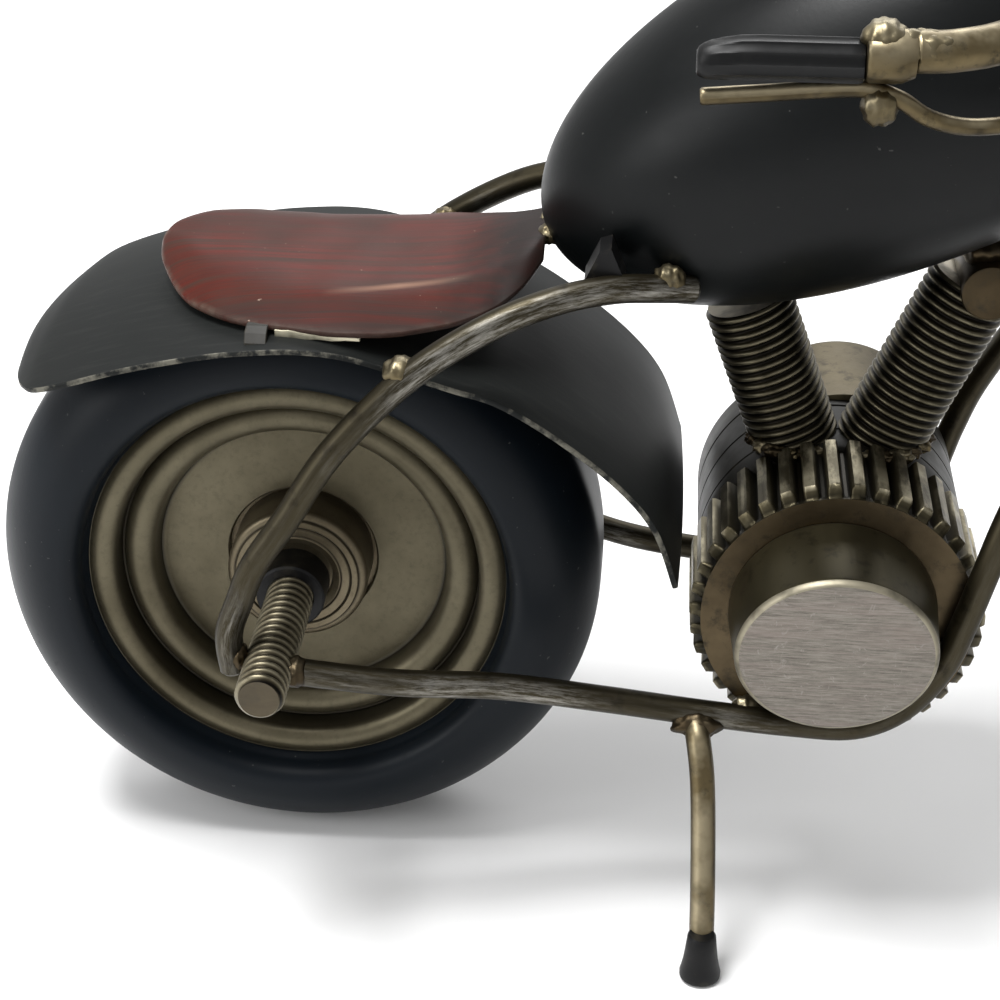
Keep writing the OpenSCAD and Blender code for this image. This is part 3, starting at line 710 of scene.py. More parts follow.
def threaded_axle(name, node, c, half, body, pitch=2.15):
    """Plain shank inside the wheel, screw thread outside it, on both ends."""
    V, F, fl, wr, sl = [], [], [], [], []
    for sg in (-1, 1):
        v, f, a, w, s_ = thread_mesh(c + V3(0, sg * half, 0), (0, -sg, 0), half - 14.0, 4.5, pitch, 0.62, 48, 10, 0.9)
        o = len(V)
        V += list(v); fl += list(a); wr += list(w); sl += list(s_)
        F += [tuple(i + o for i in q) for q in f]
    v, f, a = revolve_mesh([(0, -14.05), (4.5, -14.05), (4.5, 14.05), (0, 14.05)], 48, False, c)
    o = len(V)
    V += list(v); fl += list(a); wr += [0.4] * len(v); sl += [0] * len(f)
    F += [tuple(i + o for i in q) for q in f]
    return make(name, V, F, body, [MT["axle"], MT["cut"]], (node,), fl, wr, split=40, slots=sl)


threaded_axle("rear_axle_threaded", "rear_axle", V3(0, 0, 0), AX_HALF, "frame")
threaded_axle("front_axle_threaded", "front_axle", WH, FX_HALF, "fork")


def sleeve(name, node, c, body):
    a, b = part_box(node)
    y0, y1 = (a.y - O[1]) * 1000 - c[1], (b.y - O[1]) * 1000 - c[1]
    p = [(4.55, y0), (6.1, y0), (6.5, y0 + 0.4), (6.5, y1 - 0.4), (6.1, y1), (4.55, y1)]
    v, f, fl = revolve_mesh(p, 64, True, c)
    make(name, v, f, body, MT["black"], (node,), fl, split=35)


sleeve("rear_sleeve_right", "rear_spacer_right", V3(0, 0, 0), "frame")
sleeve("rear_sleeve_left", "rear_spacer_left", V3(0, 0, 0), "frame")
sleeve("front_sleeve_right", "front_spacer_right", WH, "fork")
sleeve("front_sleeve_left", "front_spacer_left", WH, "fork")

# ------------------------------------------------------------------ bent frame bars
RAIL = [[3.4, -46, -1], [22, -43, -4.4], [41, -37, -8], [60, -32.5, -12.6],
        [77.6, -31.5, -15.2], [94, -31.5, -16.6], [106, -31.5, -16.6], [114.6, -31.3, -12.2],
        [121, -31.2, -3.2], [124.2, -31, 6.4], [126.8, -30.7, 16], [130.5, -28.5, 27.5], [139, -22, 47],
        [151, -15, 68], [161, -10, 80], [166, -8, 85.5]]
STAY = [[-6.4, -46, -1.5], [-7, -46, 6], [-4.8, -45.5, 13], [-2, -45, 20], [4, -44, 29],
        [11, -42, 40], [20, -40, 50], [29, -37.5, 57.2], [40.3, -35, 63.6], [50.3, -32, 66.8],
        [59, -28.5, 67.5], [66, -25.2, 66.6], [73, -21.5, 65.2]]


def flip(p):
    return [[q[0], -q[1], q[2]] for q in p]


for sd, fn in (("right", lambda p: p), ("left", flip)):
    v, f, fl = tube_mesh(smooth(fn(RAIL), 8), 2.5, 28, round_end=0.5)
    make(sd + "_rail_bent", v, f, "frame", MT["bar"], (sd + "_frame_rail",), fl, split=50)
    v, f, fl = tube_mesh(smooth(fn(STAY), 8), 2.5, 28, round_end=0.6)
    make(sd + "_stay_bent", v, f, "frame", MT["bar"], (sd + "_seat_stay",), fl, split=50)

v, f, fl = tube_mesh(smooth([[138, 0, 98], [150, 0, 98.8], [159.8, 0, 99.5]], 5), 3.0, 24)
make("backbone_bent", v, f, "frame", MT["bar"], ("backbone_bar",), fl, split=50)

# ------------------------------------------------------------------ mudguards
GUARD = [[-50, 0, 43], [-46, 0, 45], [-40, 0, 47.6], [-26.4, 0, 52], [-12, 0, 55.2], [-3, 0, 56.4], [5.5, 0, 56.8],
         [13.3, 0, 56], [22, 0, 53.6], [31.5, 0, 50.6], [40.2, 0, 47.8], [50.7, 0, 41.3], [61.2, 0, 32.7],
         [68.2, 0, 23.9], [72.4, 0, 12.2]]


def sheet_piece(name, node, grid_top, grid_bot, body, material, margin=1.6):
    """Closed thin sheet from two grids, with a rounded rim and an edge attribute."""
    m, n = len(grid_top), len(grid_top[0])
    T, B = np.array(grid_top), np.array(grid_bot)
    V, wear_and_painted_light, fl = [], [], []
    ds = np.zeros(m)
    for i in range(1, m):
        ds[i] = ds[i - 1] + np.linalg.norm(T[i, n // 2] - T[i - 1, n // 2])

    def edge_dist(i, j):
        p = T[i, j]
        return min(np.linalg.norm(p - T[i, 0]), np.linalg.norm(p - T[i, -1]), np.linalg.norm(p - T[0, j]), np.linalg.norm(p - T[-1, j]))

    for G in (T, B):
        for i in range(m):
            for j in range(n):
                V.append(G[i, j])
                e = edge_dist(i, j)
                wear_and_painted_light.append(max(0.0, 1 - e / margin))
                fl.append((ds[i], T[i, j][1], 0 if G is T else -1))
    o = m * n
    F = []
    for i in range(m - 1):
        for j in range(n - 1):
            F.append((i * n + j, (i + 1) * n + j, (i + 1) * n + j + 1, i * n + j + 1))
            F.append((o + i * n + j, o + i * n + j + 1, o + (i + 1) * n + j + 1, o + (i + 1) * n + j))
    loop = [(i, 0) for i in range(m)] + [(m - 1, j) for j in range(1, n)] + [(i, n - 1) for i in range(m - 2, -1, -1)] + [(0, j) for j in range(n - 2, 0, -1)]
    # rim: one outer half-round ring between the two faces
    ctr = T.reshape(-1, 3).mean(0)
    ring = []
    for a, (i, j) in enumerate(loop):
        t, b = T[i, j], B[i, j]
        i2, j2 = loop[(a + 1) % len(loop)]
        i0, j0 = loop[a - 1]
        tan = T[i2, j2] - T[i0, j0]
        thick = b - t
        outw = np.cross(tan, thick)
        ln = np.linalg.norm(outw)
        outw = outw / ln if ln > 1e-9 else V3(0, 0, 0)
        if outw @ (t - ctr) < 0:
            outw = -outw
        ring.append(len(V))
        V.append((t + b) / 2 + outw * np.linalg.norm(thick) * 0.18)
        wear_and_painted_light.append(1.0)
        fl.append((ds[i], t[1], -0.5))
    for a, (i, j) in enumerate(loop):
        i2, j2 = loop[(a + 1) % len(loop)]
        p, q = i * n + j, i2 * n + j2
        r, r2 = ring[a], ring[(a + 1) % len(loop)]
        F.append((p, q, r2, r))
        F.append((r, r2, o + q, o + p))
    return make(name, V, F, body, material, (node,), fl, wear_and_painted_light, split=65)


def guard_grid(path, off, n, gw=35.0, crown=2.9):
    m = len(path)
    out = []
    for i in range(m):
        t = path[min(i + 1, m - 1)] - path[max(i - 1, 0)]
        t /= np.linalg.norm(t)
        nn = V3(-t[2], 0, t[0])
        u = i / (m - 1)
        w = (gw - 2 * u * u - 1) * math.sqrt(max(0, 1 - max(0, 1 - u / 0.19) ** 2)) + 1
        c = crown * (1 - 0.75 * u ** 3) * min(1, w / 32)
        row = []
        for j in range(n + 1):
            vv = math.sin(math.radians(90 * (2 * j / n - 1))) if True else 2 * j / n - 1
            row.append(path[i] + V3(0, vv * w, 0) + nn * (off + c * (1 - vv * vv)))
        out.append(row)
    return out


gp = smooth(GUARD, 8)
dense = []
for i in range(len(gp) - 1):      # rows copied unchanged
    dense.append(gp[i])
gp = dense + [gp[-1]]
sheet_piece("rear_mudguard_sheet", "rear_mudguard", guard_grid(gp, 0.0, 40), guard_grid(gp, -1.0, 40), "frame", MT["sheet"])


def front_grid(off, rows=80, n=32):
    out = []
    for i in range(rows + 1):
        a = math.radians(40 + 130 * i / rows)
        c = V3(math.cos(a), 0, math.sin(a))
        w = 25 * math.sqrt(max(0.003, 1 - max(0, 1 - (24 * i / rows) / 3.5) ** 2))
        row = []
        for j in range(n + 1):
            vv = math.sin(math.radians(90 * (2 * j / n - 1)))
            row.append(WH + V3(0, vv * w, 0) + c * (60.4 + off - 2.6 * vv * vv * min(1, w / 25)))
        out.append(row)
    return out


sheet_piece("front_mudguard_sheet", "front_mudguard", front_grid(1.0), front_grid(0.0), "fork", MT["sheet"])

# ------------------------------------------------------------------ seat
SEAT = [[-25.5, 2.5, 61.6, 5], [-24, 10, 62.4, 5.6], [-19, 19.5, 63.2, 4], [-13, 24.3, 63.6, 1.2],
        [-5, 26.6, 63.8, -1.8], [4, 27.4, 63.9, -3.2], [13, 28.4, 63.9, -3.7], [20, 28.6, 64, -3.2], [26, 28, 64.3, -2.2],
        [32, 26, 65, -1.8], [38, 22.6, 66.4, -1.6], [43, 17.8, 67.8, -1], [46, 12.5, 68.6, 1.5]]


def seat_grid(off, n=44):
    out = []
    rows_ = smooth(SEAT, 6)
    for i, q in enumerate(rows_):
        u = i / (len(rows_) - 1)
        row = []
        for j in range(n + 1):
            vv = math.sin(math.radians(90 * (2 * j / n - 1)))
            k = min(1, q[1] / 22)
            z = q[2] + off - 4.7 * abs(vv) ** 2.6 * k
            # hammered dish along the middle and a soft roll inside the near edge
            z -= 0.9 * math.exp(-((vv + 0.05) / 0.42) ** 2) * k * math.exp(-((u - 0.45) / 0.33) ** 2)
            z += 0.40 * math.exp(-((vv + 0.66) / 0.13) ** 2) * k * math.exp(-((u - 0.62) / 0.22) ** 2)
            z += 0.22 * noise.noise(Vector((q[0] * 0.12, vv * 2.4, 4.0))) * k
            row.append(V3(q[0], vv * q[1] + q[3], z))
        out.append(row)
    return out


sheet_piece("seat_skin", "seat_shell", seat_grid(0.0), seat_grid(-0.9), "frame", MT["seat"], margin=3.2)

# ------------------------------------------------------------------ tank
TP0, TPIT, TLEN, TR, TW = V3(46.4, 0, 67), math.radians(25.8), 109.5, 32.0, 0.66
prof = []
for i in range(0, 37):
    a = math.radians(2.5 * i)
    u = TW * (1 - math.cos(a))
    t = (TW - u) / TW
    prof.append((TR * max(0, 1 - t ** 2.2) ** 0.51, TLEN * u))
for i in range(35, -1, -1):
    a = math.radians(2.5 * i)
    u = TW + (1 - TW) * math.cos(a)
    t = (u - TW) / (1 - TW)
    prof.append((TR * max(0, 1 - t ** 2.2) ** 0.51, TLEN * u))
ax_t = V3(math.cos(TPIT), 0, math.sin(TPIT))
bas = (V3(0, 1, 0), V3(-math.sin(TPIT), 0, math.cos(TPIT)), ax_t)
v, f, fl = revolve_mesh(prof, 128, False, TP0, basis=bas)
make("tank_body", v, f, "frame", MT["tank"], ("tank",), fl)
# point on the crown of the tank for a filler cap; no cap is built
cc = TP0 + ax_t * TLEN * 0.62 + bas[1] * (TR - 0.9)

# ------------------------------------------------------------------ engine
EX, EZ = 101.6, 4.0
EC = V3(EX, 0, EZ)


def gear_piece(name, node, y_in, y_out):
    """Toothed ring: straight teeth that run out in scallops at the outer end, and a plain washer face."""
    teeth, sub = 38, 14
    seg = teeth * sub
    s = 1 if y_out > y_in else -1
    L = abs(y_out - y_in)
    hs = [0, 0.5, 2, 5, 8, 11, 14, L - 3.2, L - 2.6, L - 2.0, L - 1.5, L - 1.0, L - 0.5, L - 0.15, L]
    V, F, wear_and_painted_light = [], [], []
    for h in hs:
        out = L - h
        for k in range(seg):
            th = 2 * math.pi * k / seg
            num = int(k / sub)
            ph = (k / sub) % 1.0
            c = 0.5 + 0.5 * math.cos(2 * math.pi * ph)
            tooth = min(1.0, max(0.0, (c - 0.10) / 0.42))
            tooth = tooth * tooth * (3 - 2 * tooth)
            tall = 1 + 0.10 * noise.noise(Vector((num * 3.7, 1.0, h * 0.05)))
            end = 1.2 + 0.7 * noise.noise(Vector((num * 2.3, 7.0, 2.0)))
            fade = min(1.0, max(0.0, (out - end * 0.5) / 1.3))
            fade = fade * fade * (3 - 2 * fade)
            r = 24.7 + 2.25 * tooth * tall * fade
            groove = (1 - tooth) * min(1.0, max(0.0, (out - 0.7) / 0.9))
            r -= 0.25 * groove
            if out < 0.3:
                r = min(r, 25.1)
            if out == 0:
                r = 24.8
            r = min(r, 26.95)
            V.append(EC + V3(r * math.cos(th), y_in + s * h, r * math.sin(th)))
            wear_and_painted_light.append(tooth * fade if out > 0.6 else 0.55)
    m = len(hs)
    for i in range(m - 1):
        for k in range(seg):
            k2 = (k + 1) % seg
            F.append((i * seg + k, i * seg + k2, (i + 1) * seg + k2, (i + 1) * seg + k))
    nt = len(F)
    for ring, y, radii in ((0, y_in, (18, 0)), ((m - 1) * seg, y_out, (24.3, 23.2, 21.4, 20.0, 0))):
        prev = ring
        for rr in radii:
            b = len(V)
            if rr == 0:
                V.append(EC + V3(0, y, 0))
                wear_and_painted_light.append(0.5)
                for k in range(seg):
                    F.append((prev + k, prev + (k + 1) % seg, b))
                break
            for k in range(seg):
                th = 2 * math.pi * k / seg
                dy = 0.14 * noise.noise(Vector((math.cos(th) * 5, math.sin(th) * 5, rr))) if 0 < rr < 24.2 and ring else 0
                V.append(EC + V3(rr * math.cos(th), y - s * abs(dy), rr * math.sin(th)))
                wear_and_painted_light.append(0.5)
            for k in range(seg):
                k2 = (k + 1) % seg
                F.append((prev + k, prev + k2, b + k2, b + k))
            prev = b
    return make(name, V, F, "frame", [MT["gear"], MT["washer"]], (node,), None, wear_and_painted_light, split=40,
                slots=[0] * nt + [1] * (len(F) - nt))


gear_piece("gear_ring_cut", "gear_ring", -8.5, -28.0)

# smooth barrel with a few shallow seams, its far side cut for the round cover
CL = V3(103.5, 0, 12)
p = [(0, -8.5), (24.6, -8.5), (25.1, -8.3), (25.4, -7.8), (25.4, -1.2), (25.15, -1.0), (25.15, -0.6), (25.4, -0.4), (25.4, 9.0), (25.15, 9.2),
     (25.15, 9.6), (25.4, 9.8), (25.4, 19.0), (25.15, 19.2), (25.15, 19.6), (25.4, 19.8), (25.4, 27.3), (25.1, 27.8), (24.6, 28), (0, 28)]
v, f, fl = revolve_mesh(p, 192, False, EC)
barrel = make("barrel_turned", v, f, "frame", MT["barrel"], ("engine_barrel",), fl, split=35)


def cover(name, node, c, r0, r1, y0, y1, bevel, slant=0.0, side="drum"):
    """Round cover: turned side, rounded rim with a painted highlight, filed face, which may be sawn at a slant."""
    s = 1 if y1 > y0 else -1
    L = abs(y1 - y0)
    tt = [0, 0.25, 0.6, 1.2, 3, 6, 9, L - bevel - 0.6, L - bevel]
    p = [(0, 0)] + [(r0 + (r1 - r0) * t / L, t) for t in tt]
    p[1] = (r0 - 0.3, 0)
    p += [(r1 - 0.12, L - bevel * 0.7), (r1 - 0.40, L - bevel * 0.34), (r1 - 0.8, L - bevel * 0.1), (r1 - 1.35, L), (r1 * 0.6, L + 0.0), (0, L)]
    n_side = 1 + len(tt)
    seg = 144
    V, F, fl = revolve_mesh([(a_, y0 + s * b_) for a_, b_ in p], seg, False, c)
    V = np.array(V)
    if slant:
        w = np.clip(np.abs(V[:, 1] - y0) / L, 0, 1) ** 1.0
        dz = V[:, 2] - c[2]
        V[:, 1] += s * w * dz * math.tan(math.radians(slant))
        V[:, 2] = c[2] + dz * (1 - 0.024 * w)
    sl = []
    for i in range(len(p) - 1):
        sl += [0 if i < n_side - 1 else (1 if i < n_side + 2 else 2)] * seg
    return make(name, V, F, "frame", [MT[side], MT["rimlight"], MT["face"]], (node,), fl, [0.5] * len(V), split=50, slots=sl[:len(F)])


cover("cover_right_turned", "engine_cover_right", EC + V3(-0.9, 0, 1.2), 18.95, 17.95, -28.0, -43.85, 1.2, 12.5)
cover("cover_left_turned", "engine_cover_left", CL, 18.45, 18.45, 12.0, 38.5, 1.2, 0.0, "tan")


def cylinder_piece(name, node, base, top):
    d = np.array(top) - np.array(base)
    L = np.linalg.norm(d)
    v, f, fl, w, sl = thread_mesh(np.array(base, float), d, L, 8.25, 1.72, 0.72, 72, 10, 0.5, side=V3(0, 1, 0))
    make(name, v, f, "frame", [MT["cyl"], MT["topface"]], (node,), fl, w, split=45, slots=sl)


cylinder_piece("rear_cylinder_screw", "rear_cylinder", (93.6, 0, 26.6), (83, 0, 55))
cylinder_piece("front_cylinder_screw", "front_cylinder", (108.6, 0, 26.6), (123.6, 0, 60))
# cross bar and saddle block that carry the tank
v, f, fl = revolve_mesh([(0, -9), (4.6, -9), (5.0, -8.85), (5.2, -8.4), (5.2, 8.4), (5.0, 8.85), (4.6, 9), (0, 9)], 64, False, V3(125.5, 0, 61))
make("tank_rest_bar_turned", v, f, "frame", MT["rust"], ("tank_rest_bar",), fl, split=35)
blob("tank_rest_weld", (125.5, 0, 67.4), 1.0, "frame", MT["rust"], 3, (5.6, 7.4, 4.4), 0.12)

# weld runs round the foot of each cylinder and other joints
wi = 0
for cx, cz in ((93.9, 28.2), (108.2, 28.2)):
    for k in range(9):
        a = math.radians(200 + k * 20)
        blob("cyl_weld_%d" % wi, (cx + 8.6 * math.cos(a), 8.8 * math.sin(a), cz - 0.6 - 0.05 * (k % 3)), 1.5 + 0.25 * ((k * 7) % 3), "frame", MT["weld"] if k % 2 else MT["rust"], wi + 11,
             (1.25, 1.0, 0.8), 0.35)
        wi += 1

BEADS = [((23.6, 37.4, 54.4), 3.4), ((68.5, 23.6, 68.0), 2.6), ((86, 29.2, -15.2), 2.6), ((47, 3.5, 67.6), 2.2)]
bi = 0
for sg in (-1, 1):
    for (x, y, z), r in BEADS:
        if sg > 0 and r == 3.4:
            x, y, z, r = 24.3, 36.3, 53.9, 3.0
        ob = blob("weld_bead_%d" % bi, (x, sg * y, z), r, "frame", MT["weld"], bi, (1.05, 1.0, 0.95), 0.16,
                  ("weld_beads",) if bi == 0 else ())
        bi += 1
# small fillets where bars meet the axle
for sg in (-1, 1):
    blob("axle_fillet_rail_%s" % ("r" if sg < 0 else "l"), (4.6, sg * 46, -1.2), 2.9, "frame", MT["rust"], 31 + sg, (0.9, 1.15, 1.0), 0.12)
    blob("axle_fillet_stay_%s" % ("r" if sg < 0 else "l"), (-5.6, sg * 46, 1.4), 2.5, "frame", MT["rust"], 37 + sg, (0.8, 1.0, 1.2), 0.14)
    blob("head_fillet_%s" % ("r" if sg < 0 else "l"), (165.2, sg * 7.6, 85.2), 2.9, "frame", MT["weld"], 41 + sg, (1.1, 0.9, 1.1), 0.16)

# CAD solids given a new material, bevelled edges and flat shading, starting with the tank gusset
def dress(node, material, width=0.35, segs=2):
    o = NODES[node]
    o.data.materials.clear()
    o.data.materials.append(material)
    b = o.modifiers.new("edge", "BEVEL")
    b.width = width * 0.001
    b.segments = segs
    b.limit_method = "ANGLE"
    b.angle_limit = math.radians(40)
    for p_ in o.data.polygons:
        p_.use_smooth = False


dress("tank_gusset", MT["black"])

# folded tab and bare-metal sliver between the seat and the mudguard, near side
def wedge(name, rows, body, material):
    """Closed bar through rectangular rows of four points."""
    V = [p_ for row in rows for p_ in row]
    F = [(3, 2, 1, 0)]
    for i in range(len(rows) - 1):
        for k in range(4):
            F.append((4 * i + k, 4 * i + (k + 1) % 4, 4 * i + 4 + (k + 1) % 4, 4 * i + 4 + k))
    e = 4 * (len(rows) - 1)
    F.append((e, e + 1, e + 2, e + 3))
    ob = make(name, V, F, body, material, (), [(v_[0], v_[1], v_[2]) for v_ in V])
    for p_ in ob.data.polygons:
        p_.use_smooth = False
    b = ob.modifiers.new("edge", "BEVEL")
    b.width = 0.00018
    b.segments = 2
    return ob


rows = []
for z, dx, dy in ((56.0, 0.3, -5.0), (56.9, 0.0, -4.6), (58.2, -0.1, -3.2), (59.2, 0.1, -1.9)):
    rows.append([(-4.4 + dx, -28.2 + dy, z), (-0.5 + dx * 0.4, -28.2 + dy, z), (-0.5 + dx * 0.4, -26.8 + dy, z), (-4.4 + dx, -26.8 + dy, z)])
ob = wedge("seat_tab_folded", rows, "frame", MT["barrel"])
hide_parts("seat_bracket")
for nm, y0_, y1_ in (("seat_block_near", -26.3, -21.8), ("seat_block_far", 16.0, 21.0)):
    rows = []
    for z, e in ((57.25, 0.25), (57.6, 0.0), (59.0, 0.0), (59.35, 0.2)):
        rows.append([(-3 + e, y0_ + e, z), (3 - e, y0_ + e, z), (3 - e, y1_ - e, z), (-3 + e, y1_ - e, z)])
    wedge(nm, rows, "frame", MT["rust"])
rows = []
for i in range(13):
    x = 0.6 + 15.2 * i / 12
    yc = -30.35 - 1.75 * min(1, (x - 0.6) / 12)
    z0 = 56.9 + 0.05 * (x - 0.6) - 0.10 * math.sin(x * 1.3)
    h = 1.75 * (1 - 0.60 * i / 12) + 0.14 * noise.noise(Vector((x * 0.9, 3.0, 1.0)))
    rows.append([(x, yc, z0), (x, yc, z0 + h), (x, yc + 0.7, z0 + h), (x, yc + 0.7, z0)])
wedge("seat_edge_bare", rows, "frame", MT["cream"])

# head tube with rolled lips
HT0 = on_head(108)
hbas = (V3(FN[0], FN[1], FN[2]), V3(0, 1, 0), FA)
p = [(5.06, 0), (7.6, 0), (8, 0.4), (8, 2.4), (7.7, 2.8), (7.7, 25.2), (8, 25.6), (8, 27.6), (7.6, 28), (5.06, 28)]
v, f, fl = revolve_mesh(p, 72, True, HT0, basis=hbas)
make("head_tube_turned", v, f, "frame", MT["bar"], ("head_tube",), fl, split=35)

# kickstand
KS = [[76.5, -32.5, -16], [77.5, -36.5, -18.5], [78.6, -41, -26], [79.3, -48.5, -41], [79.5, -53.5, -51]]
v, f, fl = tube_mesh(smooth(KS, 8), 2.3, 24, ref=(1, 0, 0))
make("kickstand_bent", v, f, "frame", MT["brass"], ("kickstand_bar",), fl, split=50)
zf = -TYRE_R
p = [(0, zf), (3.3, zf), (3.75, zf + 0.35), (3.8, zf + 1.2), (3.55, zf + 2.2), (3.2, zf + 4.0), (2.9, zf + 6.5), (2.62, zf + 9.2), (2.3, zf + 9.6), (0, zf + 9.6)]
v, f, fl = revolve_mesh(p, 48, False, V3(79.5, -54.5, 0), axis="z")
make("kickstand_shoe", v, f, "frame", MT["black"], ("kickstand_foot",), fl, split=35)
blob("kickstand_weld", (77.0, -33.6, -16.6), 3.0, "frame", MT["rust"], 51, (1.5, 0.8, 0.8), 0.2)

# ------------------------------------------------------------------ fork and bars
for sd, sg in (("right", -1), ("left", 1)):
    base = on_leg(-1) + V3(0, sg * 31, 0)
    p = [(0, 0), (2.8, 0), (3.2, 0.4), (3.2, 56), (3.05, 56.4), (3.05, 57.2), (3.2, 57.6), (3.2, 146.6), (2.8, 147), (0, 147)]
    v, f, fl = revolve_mesh(p, 40, False, base, basis=hbas)
    make("fork_leg_%s_bar" % sd, v, f, "fork", MT["fork"], ("fork_leg_" + sd,), fl, split=35)
p = [(0, 0), (5, 0), (5, 51.6), (4.6, 52), (0, 52)]
v, f, fl = revolve_mesh(p, 48, False, on_head(104), basis=hbas)
make("steering_stem_bar", v, f, "fork", MT["fork"], ("steering_stem",), fl, split=35)
dress("lower_clamp", MT["fork"], 0.9, 3)
dress("upper_clamp", MT["fork"], 0.9, 3)
for nm in ("lower_clamp", "upper_clamp"):
    o = NODES[nm]
    at = o.data.attributes.new("flat", "FLOAT_VECTOR", "POINT")
    co = np.zeros(len(o.data.vertices) * 3, np.float32)
    o.data.vertices.foreach_get("co", co)
    co = co.reshape(-1, 3)
    at.data.foreach_set("vector", np.stack([co[:, 0], co[:, 2], co[:, 1]], 1).astype(np.float32).ravel())

hb = on_head(156)
HH = [[103, 60, 120.2], [109, 59, 120.2], [117, 55, 120.8], [127, 46.5, 123], [138, 33.5, 126.2], [147, 17, 128.2], [hb[0], 0, hb[2]]]
HB = flip(HH) + HH[5::-1]
v, f, fl = tube_mesh(smooth(HB, 8), 3.2, 28, ref=(0, 0, 1))
make("handlebar_bent", v, f, "fork", MT["brass"], ("handlebar",), fl, split=50)
blob("handlebar_weld", (hb[0], 0, hb[2] - 2.2), 4.6, "fork", MT["weld"], 61, (1.1, 1.3, 0.8), 0.14)


def hexmod(th, r, h):
    a = (th % (math.pi / 3)) - math.pi / 6
    return 0.93 + 0.07 * (1 / math.cos(a) - 1) * 6.0 if r > 2 else 1.0


for sd, sg in (("right", -1), ("left", 1)):
    c = V3(0, sg * 60, 119.6)
    p = [(0, 95.8), (3.4, 95.8), (4.0, 96.0), (4.35, 96.5), (4.35, 100.4), (4.1, 101.4), (3.7, 102.4), (3.35, 103.2), (0, 103.2)]
    v, f, fl = revolve_mesh(p, 60, False, c, axis="x", rmod=lambda th, r, h: 1.0 - 0.05 * (0.5 + 0.5 * math.cos(6 * th)) if (r > 3.5 and h < 101) else 1.0)
    make("bar_collar_%s_hex" % sd, v, f, "fork", MT["brass"], ("bar_collar_" + sd,), fl, split=35)
    blob("bar_collar_weld_%s" % sd, (102.0, sg * 60, 120.6), 3.0, "fork", MT["weld"], 71 + sg, (1.2, 1.0, 0.9), 0.22)
    blob("bar_collar_crown_%s" % sd, (98.4, sg * 60, 122.1), 3.3, "fork", MT["weld"], 91 + sg, (1.05, 1.05, 0.85), 0.12)
    blob("bar_collar_run_%s" % sd, (105.2, sg * 59.7, 120.9), 2.9, "fork", MT["weld"], 96 + sg, (1.5, 1.0, 0.9), 0.20)
    gc = V3(0, sg * 60, 118.6)
    p = [(0, 71.0), (1.6, 71.0), (2.2, 71.3), (2.6, 72.0), (2.95, 73.2), (3.25, 75.0), (3.45, 77.5), (3.5, 80.0), (3.5, 94.9), (3.3, 95.6), (0, 95.75)]
    pp = []
    for i in range(len(p) - 1):
        nsub = 10 if abs(p[i + 1][1] - p[i][1]) > 5 else 1
        for q in range(nsub):
            t = q / nsub
            pp.append((p[i][0] + (p[i + 1][0] - p[i][0]) * t, p[i][1] + (p[i + 1][1] - p[i][1]) * t))
    pp.append(p[-1])
    v, f, fl = revolve_mesh(pp, 96, False, gc, axis="x", rmod=lambda th, r, h: 1.0 - 0.075 * abs(math.sin(6 * th)) ** 0.6 if r > 3.1 else 1.0)
    v = np.array(v)
    v[:, 2] -= 0.8 * np.clip((80 - v[:, 0]) / 9, 0, 1) ** 2
    make("grip_%s_ribbed" % sd, v, f, "fork", MT["grip"], ("grip_" + sd,), fl, split=60)
    LV = [[71.8, -60, 112.4], [82, -60, 113.3], [92, -60, 114.2], [97, -60, 114.2], [101.5, -60, 112.8],
          [106, -59, 109.8], [112, -56, 107.6], [120, -52, 107], [134, -45.5, 107.5], [150, -39.5, 108.8], [165, -35.2, 110]]
    pts = smooth(LV if sg < 0 else flip(LV), 8)
    v, f, fl = tube_mesh(pts, 1.35, 16, round_end=0.3)
    make("lever_%s_wire" % sd, v, f, "fork", MT["brass"], ("lever_" + sd,), fl, split=50)
    blob("lever_weld_%s_ball" % sd, (98.5, sg * 60, 111.8), 3.1, "fork", MT["weld"], 81 + sg, (1.0, 0.95, 1.0), 0.13, ("lever_weld_" + sd,))

# mudguard stays
p_ = on_leg(59.5)
V, F, FL = [], [], []
for sg in (-1, 1):
    v, f, fl = tube_mesh([p_ + V3(0, sg * 24.4, 0), p_ + V3(0, sg * 26.4, 0), p_ + V3(0, sg * 28.4, 0)], [2.3, 1.8, 2.3], 20, ref=(0, 0, 1), round_end=0)
    o = len(V)
    V += v; FL += fl
    F += [tuple(i + o for i in q) for q in f]
make("mudguard_stay_welds", V, F, "fork", MT["weld"], ("mudguard_stays",), FL, split=50)

# ------------------------------------------------------------------ headlamp
lc = on_head(122, 23)
p = [(0, -12)] + [(15 * math.sin(math.radians(a)), -12 + 12 * (1 - math.cos(math.radians(a)))) for a in range(6, 91, 6)]
p += [(15, 6.2), (15.0, 6.5), (14.7, 6.8), (15.0, 7.1), (15.0, 9.3), (14.7, 9.8), (14.2, 10), (13.6, 9.8), (13.4, 9.2), (13.4, 8.2)]
p += [(13.4 * math.cos(math.radians(a)) if a else 13.4, 8.0 - 9.0 * math.sin(math.radians(a))) for a in range(8, 90, 8)] + [(0, -1.0)]
v, f, fl = revolve_mesh(p, 96, False, lc, axis="x")
rows = len(p)
sl = []
for i in range(rows - 1):
    r0 = p[i][0]
    idx = 0
    if 17 <= i <= 24:
        idx = 1
    if i > 24:
        idx = 2
    sl += [idx] * 96
refl = Mat("reflector")
rn = refl.noise(refl.obj(), 500, 3, 0.6)
refl.set(Metallic=1.0)
refl.out(refl.mix(rn, (0.72, 0.72, 0.70), (0.60, 0.59, 0.56)), refl.math("ADD", 0.12, refl.math("MULTIPLY", rn, 0.1)), None, refl.bump(rn, 0.00003, 0.3))
MT["refl"] = refl.m
make("lamp_bucket", v, f, "fork", [MT["lamp"], MT["brass"], MT["refl"]], ("lamp_shell",), fl, split=40, slots=sl[: len(f)])
gl = Mat("lamp_glass_fluted")
